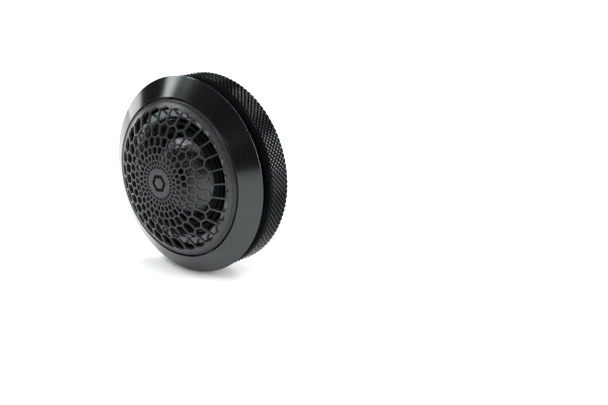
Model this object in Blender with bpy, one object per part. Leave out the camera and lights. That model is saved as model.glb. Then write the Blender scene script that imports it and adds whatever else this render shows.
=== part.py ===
"""A flush-mount car tweeter: conical bezel with a threaded barrel, honeycomb grille, dome driver, knurled clamp ring.

Every piece is modelled about the tweeter's own axis, with z towards the listener, and hangs from one empty that
lays that axis horizontal, so that the front faces -Y. In those pieces z = 0 is the plane of the bezel's outer edge.
The world's origin is where the axis meets the front of the panel that the tweeter is clamped into.
"""

import math

import bmesh
import bpy
from mathutils import Vector

MM = 0.001

# General
GAP = 0.3 * MM  # play between two pieces that touch
FINE_SIDES = 60  # facets round the large outer pieces
SIDES = 30  # facets round the pieces inside
SMALL_SIDES = 10  # facets round screws, rivets and small holes
SMOOTH_ANGLE = math.radians(35)

# Conical bezel
BEZEL_R = 30.0 * MM
RIM_THICKNESS = 0.5 * MM
CONE_R = 23.95 * MM  # inner end of the conical face, and wall of the grille's pocket
CONE_Z = 4.0 * MM
CONE_CHAMFER = 0.25 * MM
SEAT_Z = 1.0 * MM  # floor of the grille's pocket
LIP_R = 20.9 * MM
RECESS_Z = 0.3 * MM  # floor of the recess behind, which takes the barrel's spigot
RECESS_R = 24.0 * MM

# Barrel
BARREL_R = 25.0 * MM
BORE_R = 22.3 * MM
SPIGOT_R = 23.7 * MM
BARREL_END_Z = -13.6 * MM
BARREL_CHAMFER = 0.4 * MM
KEYWAY_WIDTH = 3.0 * MM
KEYWAY_DEPTH = 0.9 * MM

# Grille: a domed sheet whose height falls with the radius to this power
GRILLE_R = 23.6 * MM
GRILLE_APEX_Z = 11.7 * MM
GRILLE_EDGE_Z = 3.9 * MM
GRILLE_POWER = 2.8
GRILLE_EDGE_ROUND = 0.3 * MM
GRILLE_SHEET = 0.9 * MM
SKIRT_INNER_R = 22.7 * MM
SKIRT_END_Z = 2.0 * MM
SKIRT_STEP = 0.05 * MM
CELLS_PER_RING = 30
CELL_RINGS = 4  # open rings; the smaller holes further in are left closed
CELLS_OUTER_R = 21.7 * MM  # middle of the zigzag that ends the outer ring of cells
FIRST_BOUNDARY_R = 17.25 * MM  # middle of the zigzag between the first and second rings
RING_RATIO = 1.262  # each boundary is this much smaller than the last
OUTER_ZIGZAG = 0.014  # height of a zigzag, as a part of its radius
ZIGZAG = 0.027
WEB = 0.4 * MM
CELL_RIM_R = 22.4 * MM
HUB_RIM = 0.5 * MM

# Gaskets and clamp
GRILLE_GASKET_INNER_R = 22.0 * MM
GRILLE_GASKET_THICKNESS = 0.4 * MM
PANEL_GASKET_INNER_R = 25.5 * MM
PANEL_GASKET_OUTER_R = 28.4 * MM
PANEL_GASKET_THICKNESS = 0.6 * MM
PANEL_GASKET_Z = -0.7 * MM
CLAMP_BORE_R = 25.3 * MM
CLAMP_R = 29.6 * MM
CLAMP_FRONT_Z = -4.4 * MM
CLAMP_WIDTH = 7.5 * MM
CLAMP_CHAMFER = 0.4 * MM
WASHER_R = 28.2 * MM
WASHER_THICKNESS = 0.6 * MM
WASHER_KEY_WIDTH = 2.4 * MM
WASHER_KEY_R = 24.4 * MM

# Driver front
FACEPLATE_R = 22.0 * MM
FACEPLATE_GASKET_INNER_R = 21.1 * MM
FACEPLATE_GASKET_THICKNESS = 1.1 * MM
FACEPLATE_FRONT_Z = -1.4 * MM
FACEPLATE_REAR_Z = -3.0 * MM
FACEPLATE_BORE_R = 13.9 * MM
LAND_INNER_R = 17.5 * MM  # raised ring of the faceplate, just under the grille
LAND_OUTER_R = 20.6 * MM
LAND_Z = 3.2 * MM
LAND_SLOPE = 0.5 * MM
LAND_CHAMFER = 0.2 * MM
SURROUND_SEAT_Z = 0.6 * MM  # step of the faceplate that the surround is held on
SURROUND_INNER_R = 12.75 * MM
ROLL_OUTER_R = 15.3 * MM
SURROUND_OUTER_R = 17.2 * MM
SURROUND_Z = 0.9 * MM  # underside of the surround's flat edges
SURROUND_THICKNESS = 0.3 * MM
ROLL_STEPS = 4
HOLD_RING_INNER_R = 15.8 * MM
HOLD_RING_Z = 3.0 * MM
HOLD_RING_SLOPE = 0.7 * MM

# Moving assembly
DOME_R = 12.4 * MM
DOME_HEIGHT = 4.9 * MM
DOME_Z = 1.1 * MM
DOME_THICKNESS = 0.35 * MM
DOME_STEPS = 5
FORMER_R = 12.4 * MM  # inside of the former
FORMER_WALL = 0.2 * MM
FORMER_TOP_Z = 0.5 * MM
FORMER_END_Z = -7.0 * MM
COIL_GAP = 0.05 * MM
COIL_WALL = 0.45 * MM
COIL_TOP_Z = -4.4 * MM
COIL_END_Z = -6.9 * MM

# Motor
CUP_BORE_R = 13.5 * MM
CUP_R = 17.0 * MM
CUP_FLANGE_R = 20.3 * MM
CUP_FLANGE_THICKNESS = 2.0 * MM
CUP_END_Z = -14.0 * MM
CUP_FLOOR = 3.0 * MM
CUP_CHAMFER = 0.6 * MM
POLE_R = 12.1 * MM
POLE_TOP_Z = -4.4 * MM
POLE_THICKNESS = 2.5 * MM
MAGNET_R = 11.5 * MM
FELT_R = 9.5 * MM
FELT_THICKNESS = 1.2 * MM
RETAINING_INNER_R = 20.6 * MM
RETAINING_THICKNESS = 2.0 * MM
SPANNER_SLOT = 1.6 * MM

# Screws that hold the motor to the faceplate, and the rear cover to the barrel
CUP_SCREW_COUNT = 3
CUP_SCREW_CIRCLE = 18.7 * MM
CUP_SCREW_START = math.radians(90)
CUP_SCREW_R = 0.8 * MM
CUP_SCREW_HEAD_R = 1.35 * MM
CUP_SCREW_HEAD = 1.1 * MM
CUP_SCREW_REACH = 3.2 * MM  # how far past the faceplate's rear face
COVER_SCREW_COUNT = 3
COVER_SCREW_CIRCLE = 23.5 * MM
COVER_SCREW_START = math.radians(90)
COVER_SCREW_R = 0.55 * MM
COVER_SCREW_HEAD_R = 1.2 * MM
COVER_SCREW_HEAD = 0.7 * MM
COVER_SCREW_REACH = 2.6 * MM  # how far past the barrel's end
SCREW_PLAY = 0.25 * MM
CROSS_WIDTH = 0.35 * MM
CROSS_DEPTH = 0.4 * MM

# Rear cover, its seal and the terminals
PLUG_R = 22.0 * MM
PLUG_TOP_Z = -11.0 * MM
COVER_R = 24.8 * MM
COVER_THICKNESS = 1.3 * MM
COVER_CHAMFER = 0.4 * MM
CAN_INNER_R = 19.0 * MM
CAN_R = 20.2 * MM
CAN_END_Z = -18.9 * MM
GROOVE_R = 20.7 * MM
GROOVE_TOP_Z = -11.7 * MM
GROOVE_END_Z = -13.3 * MM
SEAL_R = 21.5 * MM
SEAL_SECTION_R = 0.5 * MM
SEAL_SECTION_SIDES = 6
BOARD_WIDTH = 18.0 * MM
BOARD_HEIGHT = 8.0 * MM
BOARD_THICKNESS = 1.2 * MM
BLADE_X = 5.2 * MM
BLADE_THICKNESS = 0.8 * MM  # two layers of sheet; its stem has one
STEM_THICKNESS = 0.4 * MM
POSITIVE_WIDTH = 4.8 * MM
NEGATIVE_WIDTH = 2.8 * MM
BLADE_INNER_Z = -16.4 * MM
BLADE_END_Z = -26.9 * MM
BLADE_HOLE_R = 0.7 * MM
BLADE_HOLE_Z = -24.2 * MM
BLADE_TIP = 0.7 * MM
RIVET_Y = 2.5 * MM
RIVET_R = 0.6 * MM
RIVET_HEAD_R = 1.1 * MM
RIVET_HEAD = 0.5 * MM
TAG_RADIUS = 19.0 * MM
TAG_LENGTH = 2.0 * MM
TAG_WIDTH = 2.6 * MM
TAG_THICKNESS = 0.5 * MM
WIRE_R = 0.45 * MM
WIRE_RUN_R = 18.0 * MM
WIRE_TURN_Z = -13.4 * MM
WIRE_LOW_Z = -15.6 * MM
WIRE_STEPS = 9

PANEL_Z = PANEL_GASKET_Z - PANEL_GASKET_THICKNESS  # where the front of the panel comes
BARREL_TOP_Z = -RIM_THICKNESS - GAP
COVER_TOP_Z = BARREL_END_Z - GAP
COVER_END_Z = COVER_TOP_Z - COVER_THICKNESS
CUP_TOP_Z = FACEPLATE_REAR_Z - GAP
CUP_FLANGE_END_Z = CUP_TOP_Z - CUP_FLANGE_THICKNESS
CAN_FLOOR_Z = CAN_END_Z + COVER_THICKNESS
BOARD_TOP_Z = CAN_END_Z - GAP
BOARD_END_Z = BOARD_TOP_Z - BOARD_THICKNESS


# Materials

def finish(name, colour, roughness, metallic):
    """A Principled BSDF material with one colour, roughness and metallic value."""
    made = bpy.data.materials.new(name)
    made.use_nodes = True
    shader = made.node_tree.nodes["Principled BSDF"]
    shader.inputs["Base Color"].default_value = (*colour, 1.0)
    shader.inputs["Roughness"].default_value = roughness
    shader.inputs["Metallic"].default_value = metallic
    made.diffuse_color = (*colour, 1.0)
    return made


# Solids

def new_object(name, mesh, look, axis):
    """An object on the tweeter's axis. look is its material's (colour, roughness, metallic)."""
    made = bpy.data.objects.new(name, mesh)
    bpy.context.scene.collection.objects.link(made)
    made.parent = axis
    if look is not None and len(mesh.materials) == 0:
        mesh.materials.append(finish(name + "_finish", *look))
    return made


def closed_mesh(name, geometry):
    """Writes a bmesh to a smooth-shaded mesh with its faces pointing out."""
    bmesh.ops.recalc_face_normals(geometry, faces=geometry.faces)
    mesh = bpy.data.meshes.new(name)
    geometry.to_mesh(mesh)
    geometry.free()
    mesh.shade_smooth()
    mesh.set_sharp_from_angle(angle=SMOOTH_ANGLE)
    return mesh


def turned(name, outline, look, axis, sides=SIDES):
    """A closed outline of (radius, z) points turned about the axis. A point at radius 0 lies on the axis."""
    geometry = bmesh.new()
    rings = []
    for radius, z in outline:
        if radius == 0:
            rings.append([geometry.verts.new((0, 0, z))] * sides)
            continue
        turns = [2 * math.pi * i / sides for i in range(sides)]
        rings.append([geometry.verts.new((radius * math.cos(a), radius * math.sin(a), z)) for a in turns])
    for upper, lower in zip(rings, rings[1:] + rings[:1]):
        if upper[0] is upper[1] and lower[0] is lower[1]:
            continue
        for i in range(sides):
            j = (i + 1) % sides
            corners = dict.fromkeys((upper[i], upper[j], lower[j], lower[i]))
            geometry.faces.new(corners)
    return new_object(name, closed_mesh(name, geometry), look, axis)


def washer_shape(name, inner, outer, top, thickness, look, axis, sides=SIDES):
    """A flat ring, or a disc where inner is 0."""
    low = top - thickness
    outline = [(inner, top), (outer, top), (outer, low), (inner, low)]
    return turned(name, outline, look, axis, sides)


def block(name, size, centre, look, axis, bevel=0.0):
    """A rectangular block, with a small bevel on its edges if asked."""
    geometry = bmesh.new()
    bmesh.ops.create_cube(geometry, size=1.0)
    bmesh.ops.scale(geometry, vec=size, verts=geometry.verts)
    if bevel > 0:
        edges = list(geometry.edges)
        bmesh.ops.bevel(geometry, geom=edges, offset=bevel, segments=1, affect="EDGES", profile=0.5)
    bmesh.ops.translate(geometry, vec=centre, verts=geometry.verts)
    return new_object(name, closed_mesh(name, geometry), look, axis)


def thicken(geometry, step):
    """Turns a flat outline into a solid by moving a copy of it this far."""
    made = bmesh.ops.extrude_face_region(geometry, geom=list(geometry.faces), use_keep_orig=True)
    moved = [item for item in made["geom"] if isinstance(item, bmesh.types.BMVert)]
    bmesh.ops.translate(geometry, vec=step, verts=moved)
    return moved


def helper(shape):
    """Marks a cutter: it is drawn as wire and left out of the object."""
    shape.hide_render = True
    shape.display_type = "WIRE"
    return shape


def cut(target, cutter):
    """Takes the cutter's volume out of the target with an exact Boolean."""
    helper(cutter)
    modifier = target.modifiers.new("cut_" + cutter.name, "BOOLEAN")
    modifier.operation = "DIFFERENCE"
    modifier.object = cutter
    modifier.solver = "EXACT"


def join_to(target, addition):
    """Adds a helper's volume to the target with an exact Boolean."""
    helper(addition)
    modifier = target.modifiers.new("join_" + addition.name, "BOOLEAN")
    modifier.operation = "UNION"
    modifier.object = addition
    modifier.solver = "EXACT"


def at_angle(radius, angle, z):
    return Vector((radius * math.cos(angle), radius * math.sin(angle), z))


def pin_cutter(name, radius, centre, top, end, axis):
    """A round cutter parallel to the axis, from z = top down to z = end, its corners off the target's facet edges."""
    cutter = turned(name, [(0, top), (radius, top), (radius, end), (0, end)], None, axis, SMALL_SIDES)
    cutter.location = (centre[0], centre[1], 0)
    cutter.rotation_euler = (0, 0, math.pi / SMALL_SIDES)
    return cutter


# Bezel, barrel and clamp

ANODISED = ((0.018, 0.019, 0.020), 0.28, 0.9)
RUBBER = ((0.012, 0.012, 0.012), 0.75, 0.0)
NYLON = ((0.02, 0.02, 0.02), 0.5, 0.0)
FOAM = ((0.01, 0.01, 0.01), 0.95, 0.0)
SATIN_PLATE = ((0.03, 0.031, 0.033), 0.35, 0.3)
SILK = ((0.035, 0.034, 0.04), 0.55, 0.0)
GLOSS_PLASTIC = ((0.01, 0.01, 0.011), 0.12, 0.0)
ALUMINIUM = ((0.75, 0.75, 0.76), 0.35, 1.0)
COPPER = ((0.80, 0.36, 0.18), 0.35, 1.0)
STEEL = ((0.62, 0.62, 0.64), 0.3, 1.0)
NICKEL = ((0.7, 0.68, 0.64), 0.22, 1.0)
FELT = ((0.22, 0.22, 0.23), 0.95, 0.0)
ABS = ((0.02, 0.02, 0.021), 0.45, 0.0)
BRASS = ((0.76, 0.56, 0.24), 0.3, 1.0)
LAMINATE = ((0.10, 0.055, 0.02), 0.5, 0.0)
TINNED = ((0.72, 0.71, 0.69), 0.28, 1.0)
RED_WIRE = ((0.45, 0.02, 0.02), 0.4, 0.0)
BLACK_WIRE = ((0.015, 0.015, 0.015), 0.4, 0.0)


def bezel(axis):
    outline = [
        (BEZEL_R, 0),
        (CONE_R + CONE_CHAMFER, CONE_Z),
        (CONE_R, CONE_Z - CONE_CHAMFER),
        (CONE_R, SEAT_Z),
        (LIP_R, SEAT_Z),
        (LIP_R, RECESS_Z),
        (RECESS_R, RECESS_Z),
        (RECESS_R, -RIM_THICKNESS),
        (BEZEL_R, -RIM_THICKNESS),
    ]
    turned("bezel", outline, ANODISED, axis, FINE_SIDES)


def threaded_barrel(axis):
    """A tube with a keyway along its underside and blind holes for the rear cover's screws."""
    outline = [
        (BORE_R, RECESS_Z - GAP),
        (SPIGOT_R, RECESS_Z - GAP),
        (SPIGOT_R, BARREL_TOP_Z),
        (BARREL_R, BARREL_TOP_Z),
        (BARREL_R, BARREL_END_Z + BARREL_CHAMFER),
        (BARREL_R - BARREL_CHAMFER, BARREL_END_Z),
        (BORE_R, BARREL_END_Z),
    ]
    barrel = turned("threaded_barrel", outline, ANODISED, axis, FINE_SIDES)
    keyway_size = (KEYWAY_WIDTH, 2 * KEYWAY_DEPTH, 2 * (PANEL_Z - BARREL_END_Z))
    keyway_centre = (0, -BARREL_R, BARREL_END_Z)
    cut(barrel, block("keyway_cutter", keyway_size, keyway_centre, None, axis))
    for number, angle in enumerate(screw_angles(COVER_SCREW_COUNT, COVER_SCREW_START), start=1):
        centre = at_angle(COVER_SCREW_CIRCLE, angle, 0)
        top = BARREL_END_Z + COVER_SCREW_REACH + GAP
        name = f"barrel_hole_cutter_{number}"
        cut(barrel, pin_cutter(name, COVER_SCREW_R + SCREW_PLAY, centre, top, BARREL_END_Z - GAP, axis))


def screw_angles(count, start):
    return [start + 2 * math.pi * i / count for i in range(count)]


def clamp_parts(axis):
    washer_front = CLAMP_FRONT_Z + GAP + WASHER_THICKNESS
    washer = washer_shape(
        "clamp_washer", CLAMP_BORE_R, WASHER_R, washer_front, WASHER_THICKNESS, NYLON, axis, FINE_SIDES)
    key_length = CLAMP_BORE_R + GAP * 2 - WASHER_KEY_R
    key_size = (WASHER_KEY_WIDTH, key_length, WASHER_THICKNESS)
    key_centre = (0, -(WASHER_KEY_R + key_length / 2), washer_front - WASHER_THICKNESS / 2)
    join_to(washer, block("washer_key", key_size, key_centre, None, axis))

    end = CLAMP_FRONT_Z - CLAMP_WIDTH
    outline = [
        (CLAMP_BORE_R, CLAMP_FRONT_Z),
        (CLAMP_R - CLAMP_CHAMFER, CLAMP_FRONT_Z),
        (CLAMP_R, CLAMP_FRONT_Z - CLAMP_CHAMFER),
        (CLAMP_R, end + CLAMP_CHAMFER),
        (CLAMP_R - CLAMP_CHAMFER, end),
        (CLAMP_BORE_R, end),
    ]
    turned("clamp_ring", outline, ANODISED, axis, FINE_SIDES)


def gaskets(axis):
    washer_shape("panel_gasket", PANEL_GASKET_INNER_R, PANEL_GASKET_OUTER_R, PANEL_GASKET_Z,
                 PANEL_GASKET_THICKNESS, FOAM, axis, FINE_SIDES)
    washer_shape("grille_gasket", GRILLE_GASKET_INNER_R, GRILLE_R, SKIRT_END_Z - GAP,
                 GRILLE_GASKET_THICKNESS, RUBBER, axis, FINE_SIDES)
    washer_shape("faceplate_gasket", FACEPLATE_GASKET_INNER_R, FACEPLATE_R, RECESS_Z - GAP,
                 FACEPLATE_GASKET_THICKNESS, RUBBER, axis)


# Grille

def grille_z(radius):
    """Height of the grille's outer surface."""
    return GRILLE_APEX_Z - (GRILLE_APEX_Z - GRILLE_EDGE_Z) * (radius / GRILLE_R) ** GRILLE_POWER


def boundary(index):
    """(middle radius, zigzag height) of the line between ring index and ring index + 1, counted inwards from 1."""
    if index == 0:
        return CELLS_OUTER_R, OUTER_ZIGZAG * CELLS_OUTER_R
    middle = FIRST_BOUNDARY_R / RING_RATIO ** (index - 1)
    return middle, ZIGZAG * middle


def on_circle(radius, angle):
    return Vector((radius * math.cos(angle), radius * math.sin(angle)))


def inset_polygon(corners, distance):
    """The corners of a convex polygon, listed anticlockwise, after each side moves inwards by the distance."""
    moved = []
    count = len(corners)
    for i in range(count):
        before = (corners[i] - corners[i - 1]).normalized()
        after = (corners[(i + 1) % count] - corners[i]).normalized()
        inward_before = Vector((-before.y, before.x))
        inward_after = Vector((-after.y, after.x))
        lean = inward_before + inward_after
        moved.append(corners[i] + lean * (distance / (1 + inward_before.dot(inward_after))))
    return moved


def cell_corners(ring, centre, half_step):
    """Six corners of a cell, anticlockwise from its outer tip, webs taken off."""
    outer, outer_rise = boundary(ring - 1)
    inner, inner_rise = boundary(ring)
    corners = [
        on_circle(outer + outer_rise, centre),
        on_circle(outer - outer_rise, centre + half_step),
        on_circle(inner + inner_rise, centre + half_step),
        on_circle(inner - inner_rise, centre),
        on_circle(inner + inner_rise, centre - half_step),
        on_circle(outer - outer_rise, centre - half_step),
    ]
    return inset_polygon(corners, WEB / 2)


def honeycomb_faces(geometry, rings):
    """The webs between the cells as flat faces, with the outer and inner borders of the pattern.

    Corner numbers: 0 outer tip, 1 and 2 outer and inner corner on the side of growing angle, 3 inner tip,
    4 and 5 inner and outer corner on the other side.
    """
    step = 2 * math.pi / CELLS_PER_RING
    cells = {}
    for ring in range(1, rings + 1):
        shift = 0.5 * (ring % 2)
        for i in range(CELLS_PER_RING):
            corners = cell_corners(ring, (i + shift) * step, step / 2)
            cells[ring, i] = [geometry.verts.new((p.x, p.y, 0)) for p in corners]

    for (ring, i), cell in cells.items():
        beside = cells[ring, (i + 1) % CELLS_PER_RING]
        geometry.faces.new((cell[1], cell[2], beside[4], beside[5]))
        if ring == rings:
            continue
        # The cells of the next ring inwards that meet this cell on either side of its inner tip.
        first = (i + ring % 2) % CELLS_PER_RING
        ahead = cells[ring + 1, first]
        behind = cells[ring + 1, (first - 1) % CELLS_PER_RING]
        geometry.faces.new((cell[2], cell[3], ahead[5], ahead[0]))
        geometry.faces.new((cell[3], cell[4], behind[0], behind[1]))
        geometry.faces.new((cell[3], behind[1], ahead[5]))
        geometry.faces.new((cell[2], ahead[0], beside[4]))
    return cells


def border_ring(geometry, radius):
    """Points every half cell, the first at a side of the odd rings' cells."""
    count = 2 * CELLS_PER_RING
    return [geometry.verts.new((*on_circle(radius, math.pi * i / CELLS_PER_RING), 0)) for i in range(count)]


def joined_rings(geometry, outer, inner):
    count = len(outer)
    for i in range(count):
        j = (i + 1) % count
        geometry.faces.new((outer[i], outer[j], inner[j], inner[i]))


def grille_borders(geometry, cells, rings):
    """Fills from the cells to the rim outside them and to the closed hub inside them."""
    rim_radii = (CELL_RIM_R, SKIRT_INNER_R - SKIRT_STEP, SKIRT_INNER_R, GRILLE_R - GRILLE_EDGE_ROUND, GRILLE_R)
    rims = [border_ring(geometry, radius) for radius in rim_radii]
    for inner, outer in zip(rims, rims[1:]):
        joined_rings(geometry, outer, inner)
    last, last_rise = boundary(rings)
    hub_r = last - last_rise - HUB_RIM
    hubs = [border_ring(geometry, hub_r), border_ring(geometry, hub_r / 2)]
    joined_rings(geometry, hubs[0], hubs[1])
    geometry.faces.new(hubs[1])

    count = 2 * CELLS_PER_RING
    for i in range(CELLS_PER_RING):
        cell, beside = cells[1, i], cells[1, (i + 1) % CELLS_PER_RING]
        side_before, middle, side_after = rims[0][2 * i], rims[0][2 * i + 1], rims[0][(2 * i + 2) % count]
        geometry.faces.new((side_before, middle, cell[0], cell[5]))
        geometry.faces.new((middle, side_after, cell[1], cell[0]))
        geometry.faces.new((side_after, beside[5], cell[1]))

        cell, beside = cells[rings, i], cells[rings, (i + 1) % CELLS_PER_RING]
        start = 2 * i - 1 + rings % 2
        side_before, middle, side_after = (hubs[0][(start + k) % count] for k in range(3))
        geometry.faces.new((cell[4], cell[3], middle, side_before))
        geometry.faces.new((cell[3], cell[2], side_after, middle))
        geometry.faces.new((cell[2], beside[4], side_after))


def grille(axis):
    """The honeycomb is laid out flat, raised to the dome's height, and given its depth along the axis.

    It is turned by half a cell, so that the outer ring has a web at the top.
    """
    geometry = bmesh.new()
    cells = honeycomb_faces(geometry, CELL_RINGS)
    grille_borders(geometry, cells, CELL_RINGS)
    front = list(geometry.verts)
    rear = thicken(geometry, (0, 0, -GRILLE_SHEET))
    for vertex in front:
        radius = vertex.co.to_2d().length
        rounded = GRILLE_EDGE_ROUND if radius > GRILLE_R - GRILLE_EDGE_ROUND / 2 else 0
        vertex.co.z = grille_z(radius) - rounded
    for vertex in rear:
        radius = vertex.co.to_2d().length
        on_skirt = radius > SKIRT_INNER_R - SKIRT_STEP / 2
        vertex.co.z = SKIRT_END_Z if on_skirt else grille_z(radius) - GRILLE_SHEET
    made = new_object("grille", closed_mesh("grille", geometry), ANODISED, axis)
    made.rotation_euler = (0, 0, math.pi / CELLS_PER_RING)


# Driver

def faceplate(axis):
    outline = [
        (FACEPLATE_BORE_R, SURROUND_SEAT_Z),
        (LAND_INNER_R, SURROUND_SEAT_Z),
        (LAND_INNER_R, LAND_Z - LAND_SLOPE),
        (LAND_INNER_R + LAND_SLOPE, LAND_Z),
        (LAND_OUTER_R - LAND_CHAMFER, LAND_Z),
        (LAND_OUTER_R, LAND_Z - LAND_CHAMFER),
        (LAND_OUTER_R, FACEPLATE_FRONT_Z),
        (FACEPLATE_R, FACEPLATE_FRONT_Z),
        (FACEPLATE_R, FACEPLATE_REAR_Z),
        (FACEPLATE_BORE_R, FACEPLATE_REAR_Z),
    ]
    plate = turned("faceplate", outline, SATIN_PLATE, axis)
    for number, angle in enumerate(screw_angles(CUP_SCREW_COUNT, CUP_SCREW_START), start=1):
        centre = at_angle(CUP_SCREW_CIRCLE, angle, 0)
        top = FACEPLATE_REAR_Z + CUP_SCREW_REACH + GAP
        name = f"faceplate_hole_cutter_{number}"
        cut(plate, pin_cutter(name, CUP_SCREW_R + SCREW_PLAY, centre, top, FACEPLATE_REAR_Z - GAP, axis))


def surround_parts(axis):
    """The half-round roll between dome and faceplate, and the ring that holds its outer edge down."""
    roll_middle = (SURROUND_INNER_R + ROLL_OUTER_R) / 2
    roll_half = (ROLL_OUTER_R - SURROUND_INNER_R) / 2
    top = SURROUND_Z + SURROUND_THICKNESS
    upper = []
    lower = []
    for i in range(ROLL_STEPS + 1):
        angle = math.pi * (1 - i / ROLL_STEPS)
        reach = roll_half - SURROUND_THICKNESS
        upper.append((roll_middle + roll_half * math.cos(angle), top + roll_half * math.sin(angle)))
        lower.append((roll_middle + reach * math.cos(angle), SURROUND_Z + roll_half * math.sin(angle)))
    edge = [(SURROUND_OUTER_R, top), (SURROUND_OUTER_R, SURROUND_Z)]
    inner_edge = [(SURROUND_INNER_R, SURROUND_Z)]
    turned("surround", upper + edge + lower[::-1] + inner_edge, RUBBER, axis)

    low = top + GAP
    outline = [
        (HOLD_RING_INNER_R, low),
        (SURROUND_OUTER_R, low),
        (SURROUND_OUTER_R, HOLD_RING_Z),
        (HOLD_RING_INNER_R + HOLD_RING_SLOPE, HOLD_RING_Z),
        (HOLD_RING_INNER_R, HOLD_RING_Z - HOLD_RING_SLOPE),
    ]
    turned("surround_hold_ring", outline, GLOSS_PLASTIC, axis)


def dome_diaphragm(axis):
    """A spherical cap of even thickness, open below."""
    sphere_r = (DOME_R ** 2 + DOME_HEIGHT ** 2) / (2 * DOME_HEIGHT)
    centre_z = DOME_Z + DOME_HEIGHT - sphere_r
    spread = math.asin(DOME_R / sphere_r)
    angles = [spread * i / DOME_STEPS for i in range(DOME_STEPS + 1)]
    inner_r = sphere_r - DOME_THICKNESS
    outer = [(sphere_r * math.sin(a), centre_z + sphere_r * math.cos(a)) for a in angles]
    inner = [(inner_r * math.sin(a), centre_z + inner_r * math.cos(a)) for a in angles]
    outer[0] = (0, outer[0][1])
    inner[0] = (0, inner[0][1])
    turned("dome_diaphragm", outer + inner[::-1], SILK, axis)


def coil_parts(axis):
    washer_shape("coil_former", FORMER_R, FORMER_R + FORMER_WALL, FORMER_TOP_Z,
                 FORMER_TOP_Z - FORMER_END_Z, ALUMINIUM, axis)
    coil_r = FORMER_R + FORMER_WALL + COIL_GAP
    washer_shape("voice_coil", coil_r, coil_r + COIL_WALL, COIL_TOP_Z, COIL_TOP_Z - COIL_END_Z, COPPER, axis)


def motor(axis):
    outline = [
        (CUP_BORE_R, CUP_TOP_Z),
        (CUP_FLANGE_R, CUP_TOP_Z),
        (CUP_FLANGE_R, CUP_FLANGE_END_Z),
        (CUP_R, CUP_FLANGE_END_Z),
        (CUP_R, CUP_END_Z + CUP_CHAMFER),
        (CUP_R - CUP_CHAMFER, CUP_END_Z),
        (0, CUP_END_Z),
        (0, CUP_END_Z + CUP_FLOOR),
        (CUP_BORE_R, CUP_END_Z + CUP_FLOOR),
    ]
    cup = turned("magnet_cup", outline, NICKEL, axis)
    for number, angle in enumerate(screw_angles(CUP_SCREW_COUNT, CUP_SCREW_START), start=1):
        centre = at_angle(CUP_SCREW_CIRCLE, angle, 0)
        name = f"cup_hole_cutter_{number}"
        top, end = CUP_TOP_Z + GAP, CUP_FLANGE_END_Z - GAP
        cut(cup, pin_cutter(name, CUP_SCREW_R + SCREW_PLAY, centre, top, end, axis))
    washer_shape("pole_plate", 0, POLE_R, POLE_TOP_Z, POLE_THICKNESS, STEEL, axis)
    magnet_top = POLE_TOP_Z - POLE_THICKNESS - GAP
    magnet_end = CUP_END_Z + CUP_FLOOR + GAP
    washer_shape("neodymium_magnet", 0, MAGNET_R, magnet_top, magnet_top - magnet_end, NICKEL, axis)
    washer_shape("felt_pad", 0, FELT_R, POLE_TOP_Z + GAP + FELT_THICKNESS, FELT_THICKNESS, FELT, axis)
    ring = washer_shape(
        "driver_retaining_ring", RETAINING_INNER_R, FACEPLATE_R, CUP_TOP_Z, RETAINING_THICKNESS, ANODISED, axis)
    slot_size = (2 * SPANNER_SLOT, SPANNER_SLOT, RETAINING_THICKNESS)
    for number, side in enumerate((-1, 1), start=1):
        centre = (0, side * FACEPLATE_R, CUP_TOP_Z - RETAINING_THICKNESS)
        cut(ring, block(f"spanner_slot_cutter_{number}", slot_size, centre, None, axis))


def screw(name, centre, head_r, head, shank_r, underside, tip, look, axis):
    """A cross-head screw that enters from the rear. underside is where the head bears, tip is the shank's end."""
    outline = [
        (0, tip),
        (shank_r - SCREW_PLAY, tip),
        (shank_r, tip - SCREW_PLAY),
        (shank_r, underside),
        (head_r, underside),
        (head_r, underside - head / 2),
        (head_r - head / 2, underside - head),
        (0, underside - head),
    ]
    made = turned(name, outline, look, axis, SMALL_SIDES)
    made.location = (centre[0], centre[1], 0)
    recess = cross_cutter(name + "_cross_cutter", head_r / 2, underside - head, axis)
    recess.location = made.location
    cut(made, recess)


def cross_cutter(name, reach, z, axis):
    """An upright cross, centred on the plane at z, whose arms reach this far from the middle."""
    half = CROSS_WIDTH / 2
    quarter = [(reach, -half), (reach, half), (half, half)]
    geometry = bmesh.new()
    corners = []
    for turn in range(4):
        angle = math.pi * turn / 2
        for x, y in quarter:
            across = x * math.cos(angle) - y * math.sin(angle)
            along = x * math.sin(angle) + y * math.cos(angle)
            corners.append(geometry.verts.new((across, along, z - CROSS_DEPTH)))
    geometry.faces.new(corners)
    thicken(geometry, (0, 0, 2 * CROSS_DEPTH))
    return new_object(name, closed_mesh(name, geometry), None, axis)


def screws(axis):
    for number, angle in enumerate(screw_angles(CUP_SCREW_COUNT, CUP_SCREW_START), start=1):
        centre = at_angle(CUP_SCREW_CIRCLE, angle, 0)
        screw(f"motor_screw_{number}", centre, CUP_SCREW_HEAD_R, CUP_SCREW_HEAD, CUP_SCREW_R,
              CUP_FLANGE_END_Z - GAP, FACEPLATE_REAR_Z + CUP_SCREW_REACH, STEEL, axis)
    for number, angle in enumerate(screw_angles(COVER_SCREW_COUNT, COVER_SCREW_START), start=1):
        centre = at_angle(COVER_SCREW_CIRCLE, angle, 0)
        screw(f"rear_cover_screw_{number}", centre, COVER_SCREW_HEAD_R, COVER_SCREW_HEAD, COVER_SCREW_R,
              COVER_END_Z - GAP, BARREL_END_Z + COVER_SCREW_REACH, STEEL, axis)


# Rear

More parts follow.
